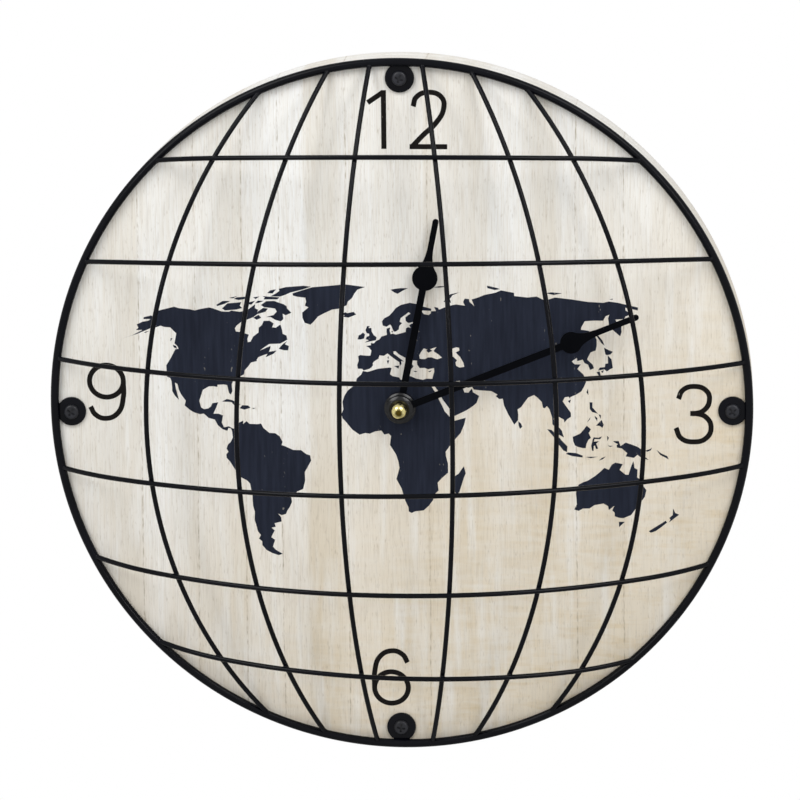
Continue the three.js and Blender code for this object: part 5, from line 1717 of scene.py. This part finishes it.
@dataclass
class DialPrint:
    """The world map and the four numerals printed on the board.

    The map's width follows even powers of the latitude in radians, and its height odd ones.
    """

    film: float = 0.06
    bite: float = 0.04
    globe_radius: float = 70.1
    width_terms: Size = (0.8507, -0.1450, -0.0104)
    height_terms: Size = (0.9642, -0.0013, -0.0129)
    middle_meridian: float = 13.7
    equator: Point = (-1.5, -21.7)
    map_tilt: float = 1.33
    clear_hole: float = 7.3
    pen: float = 2.9
    pen_steps: int = 16
    numeral_height: float = 31.0
    one_at: Point = (-8.2, 164.5)
    two_at: Point = (17.0, 164.6)
    three_at: Point = (166.1, -3.8)
    six_at: Point = (-6.9, -159.1)
    nine_at: Point = (-168.2, 7.0)

    def build(self) -> None:
        """Prints the map, then the numerals."""
        dress(self.world_map(), Slot.STEEL, Body.CASE, finish=MAP_INK)
        for name, middle, half_turn in (
            ("1", self.one_at, False), ("2", self.two_at, False), ("3", self.three_at, False),
            ("6", self.six_at, False), ("6", self.nine_at, True),
        ):
            dress(self.numeral(name, middle, half_turn), Slot.STEEL, Body.CASE, finish=NUMERAL_INK)

    def board_front(self) -> float:
        """Gives how far the board's face stands out from the wall."""
        return clock_box("dial_board")[1].z

    def on_map(self, east: float, north: float) -> Point:
        """Places a point of the earth on the board by a world projection with rounded sides.

        Args:
            east: longitude in degrees.
            north: latitude in degrees.

        Returns:
            The point across and up.
        """
        lean = math.radians(north)
        width = sum(term * lean ** (2 * step) for step, term in enumerate(self.width_terms))
        height = sum(term * lean ** (2 * step + 1) for step, term in enumerate(self.height_terms))
        across = self.globe_radius * math.radians(east - self.middle_meridian) * width
        up = self.globe_radius * height
        tilt = math.radians(self.map_tilt)
        return (
            self.equator[0] + across * math.cos(tilt) - up * math.sin(tilt),
            self.equator[1] + across * math.sin(tilt) + up * math.cos(tilt),
        )

    def world_map(self) -> Object:
        """Prints every land, with its inland seas and the room for the hands' bush left open.

        Returns:
            The map.
        """
        front = self.board_front()
        bush = arc_points((0, 0), self.clear_hole, 0, math.tau, BORE_SIDES)[:-1]
        old_world, *seas, americas = (
            [self.on_map(*point) for point in coast]
            for coast in (EURASIA_AND_AFRICA, *INLAND_SEAS, AMERICAS)
        )
        lands = [[old_world, *seas, bush], [americas]]
        lands += [[[self.on_map(*point) for point in coast]] for coast in ISLANDS.values()]
        sheets = [sheet_piece("land", land, front - self.bite, front + self.film) for land in lands]
        return joined(sheets, "printed_map")

    def strokes(self, name: str) -> tuple[Stroke, ...]:
        """Gives the strokes of a numeral.

        Args:
            name: the numeral.

        Returns:
            Its strokes round the numeral's middle.
        """
        return {
            "1": (Stroke(((-0.58, 0.62), (-0.02, 1.0)), curved=False),
                  Stroke(((0.0, 1.08), (0.0, -1.08)), curved=False)),
            "2": (Stroke(((-0.55, 0.48), (-0.43, 0.82), (0.04, 1.0), (0.5, 0.8), (0.56, 0.4),
                          (0.28, -0.12), (-0.2, -0.58), (-0.6, -1.0))),
                  Stroke(((-0.69, -1.0), (0.68, -1.0)), curved=False)),
            "3": (Stroke(((-0.55, 0.56), (-0.4, 0.88), (0.03, 1.03), (0.48, 0.86), (0.58, 0.52),
                          (0.4, 0.16), (0.06, 0.02), (-0.12, 0.02))),
                  Stroke(((-0.12, 0.02), (0.06, 0.02), (0.46, -0.12), (0.64, -0.5), (0.47, -0.89),
                          (0.0, -1.04), (-0.46, -0.9), (-0.64, -0.52)))),
            "6": (Stroke(((0.6, 0.56), (0.42, 0.86), (0.03, 1.0), (-0.42, 0.78), (-0.62, 0.2),
                          (-0.63, -0.38))),
                  Stroke(((0.0, 0.2), (0.62, -0.4), (0.0, -1.0), (-0.63, -0.4)), closed=True)),
        }[name]

    def numeral(self, name: str, middle: Point, half_turn: bool) -> Object:
        """Draws a numeral as flat pen strokes.

        Args:
            name: the numeral's strokes.
            middle: its middle, across and up.
            half_turn: whether it is turned upside down, which makes a nine of a six.

        Returns:
            The numeral.
        """
        label = "printed_9" if half_turn else f"printed_{name}"
        first, *others = (self.drawn(label, stroke, middle, half_turn) for stroke in self.strokes(name))
        for other in others:
            combine(first, other, Joint.WELD)
        return first

    def drawn(self, label: str, stroke: Stroke, middle: Point, half_turn: bool) -> Object:
        """Draws one stroke of a numeral as a ribbon and gives it the print's thickness.

        Args:
            label: the numeral's name.
            stroke: the stroke.
            middle: the numeral's middle, across and up.
            half_turn: whether the numeral is turned upside down.

        Returns:
            The stroke.
        """
        curve = bpy.data.curves.new(label, "CURVE")
        curve.dimensions = "3D"
        curve.twist_mode = "Z_UP"
        curve.extrude = self.pen / 2 * MM
        curve.resolution_u = self.pen_steps
        size = self.numeral_height / 2 * MM
        spline = curve.splines.new("BEZIER")
        spline.bezier_points.add(len(stroke.points) - 1)
        spline.use_cyclic_u = stroke.closed
        for knot, (across, up) in zip(spline.bezier_points, stroke.points):
            knot.co = (across * size, up * size, 0)
            knot.handle_left_type = knot.handle_right_type = "AUTO" if stroke.curved else "VECTOR"
            knot.tilt = math.pi / 2
        ribbon = bpy.data.objects.new(label, curve)
        bpy.context.scene.collection.objects.link(ribbon)
        ribbon.location = place(*middle, self.board_front() + (self.film - self.bite) / 2)
        ribbon.rotation_euler = (FACING[0], math.pi if half_turn else 0, 0)
        only(ribbon)
        bpy.ops.object.convert(target="MESH")
        settle(label)
        close_up(ribbon)
        film = ribbon.modifiers.new("film", "SOLIDIFY")
        film.thickness = (self.bite + self.film) * MM
        film.offset = 0.0
        bpy.ops.object.modifier_apply(modifier=film.name)
        close_up(ribbon)
        return ribbon


@dataclass
class Works:
    """The movement behind the board and the hanger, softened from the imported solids."""

    rounding: dict[str, float] = field(default_factory=lambda: {
        "movement_case": 0.5, "movement_cover": 0.4, "setting_knob": 0.25, "battery": 0.3,
        "contact_negative": 0.1, "contact_positive": 0.1, "hanger": 0.2,
        "hanger_screw_1": 0.2, "hanger_screw_2": 0.2, "bush_nut": 0.2, "bush_washer": 0.15})
    steps: int = 3
    flat_angle: float = 1.0
    sharp_angle: float = 40.0

    def build(self, slots: dict[str, Slot]) -> None:
        """Softens the pieces that can be seen.

        Args:
            slots: the material slot of each node.
        """
        for node, width in self.rounding.items():
            body = Body.SETTING if node == "setting_knob" else Body.CASE
            dress(self.softened(node, width), slots[node], body, node)

    def softened(self, node: str, width: float) -> Object:
        """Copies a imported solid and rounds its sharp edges.

        Args:
            node: the node to copy.
            width: the rounding's width.

        Returns:
            The softened copy.
        """
        solid = bpy.data.objects[node]
        piece = bpy.data.objects.new(f"soft_{node}", solid.data.copy())
        piece.data.name = piece.name
        bpy.context.scene.collection.objects.link(piece)
        with editing(piece):
            bpy.ops.mesh.remove_doubles(threshold=SAME_POINT * MM)
            bpy.ops.mesh.dissolve_limited(angle_limit=math.radians(self.flat_angle))
        edge = piece.modifiers.new("edge", "BEVEL")
        edge.width = width * MM
        edge.segments = self.steps
        edge.limit_method = "ANGLE"
        edge.angle_limit = math.radians(self.sharp_angle)
        edge.use_clamp_overlap = True
        bpy.ops.object.modifier_apply(modifier=edge.name)
        return piece


@dataclass(frozen=True)
class Lamp:
    """A square soft lamp that hangs once on each side, with its power in watts."""

    name: str
    up: float
    out: float
    size: float
    power: float


@dataclass
class Studio:
    """White studio with soft light from both sides above, and the camera of the photograph."""

    pitch: float = 11.94
    yaw: float = -4.27
    roll: float = 0.54
    distance: float = 3500.0
    shift_right: float = 0.52
    shift_up: float = -3.2
    aim_out: float = 25.0
    # Focal length over the picture's width, both in pixels
    focal_share: float = 6161.3 / 800
    sensor: float = 36.0
    sight: float = 100000.0
    lamps: tuple[Lamp, ...] = (
        Lamp("upper", up=1250, out=1050, size=900, power=12.4),
        Lamp("lower", up=400, out=1500, size=240, power=2.2),
    )
    lamp_across: float = 850.0
    sky: float = 0.47
    floor_drop: float = 1200.0
    floor_size: float = 24000.0
    floor_fade: tuple[float, float] = (900.0, 2400.0)
    floor_paint: str = "#F2F2F0"

    def build(self) -> None:
        """Sets the camera, the lamps, the sky and the floor."""
        bpy.context.scene.view_settings.view_transform = "Standard"
        self.camera()
        for side, across in (("left", -self.lamp_across), ("right", self.lamp_across)):
            for lamp in self.lamps:
                self.hang(lamp, side, across)
        self.sky_light()
        self.floor()

    def camera(self) -> None:
        """Stands the camera where the photograph was taken from."""
        turn = (
            Matrix.Rotation(math.radians(self.pitch), 3, "X")
            @ Matrix.Rotation(math.radians(self.yaw), 3, "Y")
            @ Matrix.Rotation(math.radians(self.roll), 3, "Z")
        )
        to_frame = Matrix.Rotation(math.pi / 2, 3, "X")
        stand = turn.transposed() @ Vector((-self.shift_right, -self.shift_up, self.distance))
        lens = bpy.data.cameras.new("camera")
        lens.sensor_width = self.sensor
        lens.lens = self.focal_share * self.sensor
        lens.clip_end = self.sight * MM
        camera = bpy.data.objects.new("camera", lens)
        bpy.context.scene.collection.objects.link(camera)
        camera.matrix_world = (to_frame @ turn.transposed()).to_4x4()
        camera.location = place(stand.x, stand.y, stand.z + self.aim_out)
        bpy.context.scene.camera = camera

    def hang(self, lamp: Lamp, side: str, across: float) -> None:
        """Hangs a lamp on one side, facing the dial.

        Args:
            lamp: the lamp.
            side: the name of the side.
            across: its place across.
        """
        name = f"{lamp.name}_{side}_lamp"
        light = bpy.data.lights.new(name, "AREA")
        light.size = lamp.size * MM
        light.energy = lamp.power
        hung = bpy.data.objects.new(name, light)
        bpy.context.scene.collection.objects.link(hung)
        hung.location = place(across, lamp.up, lamp.out)
        hung.rotation_euler = (-hung.location).to_track_quat("-Z", "Y").to_euler()

    def seen(self, tree: NodeTree) -> NodeSocket:
        """Adds the test of whether the background is looked at, straight, mirrored or through glass.

        Args:
            tree: the nodes of the sky or of the floor.

        Returns:
            One for such rays and nothing for the others.
        """
        straight, mirrored, through = (
            add_node(tree, "LightPath", give=f"Is {ray} Ray")
            for ray in ("Camera", "Glossy", "Transmission")
        )
        either = add_node(tree, "Math", {0: straight, 1: mirrored}, operation="MAXIMUM")
        return add_node(tree, "Math", {0: either, 1: through}, operation="MAXIMUM")

    def sky_light(self) -> None:
        """Lights the clock evenly from all sides and shows white behind it."""
        world = bpy.data.worlds.new("studio_sky")
        bpy.context.scene.world = world
        world.use_nodes = True
        tree = world.node_tree
        tree.nodes.clear()
        lit = add_node(tree, "Background", {"Color": linear(WHITE), "Strength": self.sky})
        white = add_node(tree, "Background", {"Color": linear(WHITE), "Strength": 1.0})
        mixed = add_node(tree, "MixShader", {0: self.seen(tree), 1: lit, 2: white})
        add_node(tree, "OutputWorld", {"Surface": mixed})

    def floor(self) -> None:
        """Lays a pale floor well below the clock that fades to white in the distance."""
        bpy.ops.object.select_all(action="DESELECT")
        bpy.ops.mesh.primitive_plane_add(
            size=self.floor_size * MM, location=place(0, -self.floor_drop, 0))
        floor = settle("pale_floor")
        material = bpy.data.materials.new("pale_floor_paint")
        material.use_nodes = True
        tree = material.node_tree
        tree.nodes.clear()
        position = add_node(tree, "TexCoord", give="Object")
        # Only the distance along the floor counts
        level = add_node(tree, "VectorMath", {0: position, 1: (1, 1, 0)}, operation="MULTIPLY")
        away = add_node(tree, "VectorMath", {0: level}, operation="LENGTH")
        near, far = self.floor_fade
        fade = add_node(tree, "MapRange", {"Value": away, "From Min": near * MM, "From Max": far * MM})
        share = add_node(tree, "Math", {0: fade, 1: self.seen(tree)}, operation="MULTIPLY")
        paint = add_node(tree, "BsdfDiffuse", {"Color": linear(self.floor_paint)})
        white = add_node(tree, "Emission", {"Color": linear(WHITE), "Strength": 1.0})
        mixed = add_node(tree, "MixShader", {0: share, 1: paint, 2: white})
        add_node(tree, "OutputMaterial", {"Surface": mixed})
        floor.data.materials.append(material)


def main() -> None:
    """Dresses the loaded frame, one sub-assembly after the other."""
    logging.basicConfig(level=logging.INFO, format="%(message)s")
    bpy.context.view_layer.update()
    slots = {part["node"]: Slot(part["material_slot"]) for part in frame["record"]["subparts"]}
    for node, solid in frame["nodes"].items():
        solid.data.materials.clear()
        solid.data.materials.append(FINISHES[slots[node]].material())
    Studio().build()
    WoodenBody().build()
    DialPrint().build()
    WireGlobe().build()
    HandSet().build()
    Works().build(slots)


if __name__ == "__main__":
    main()
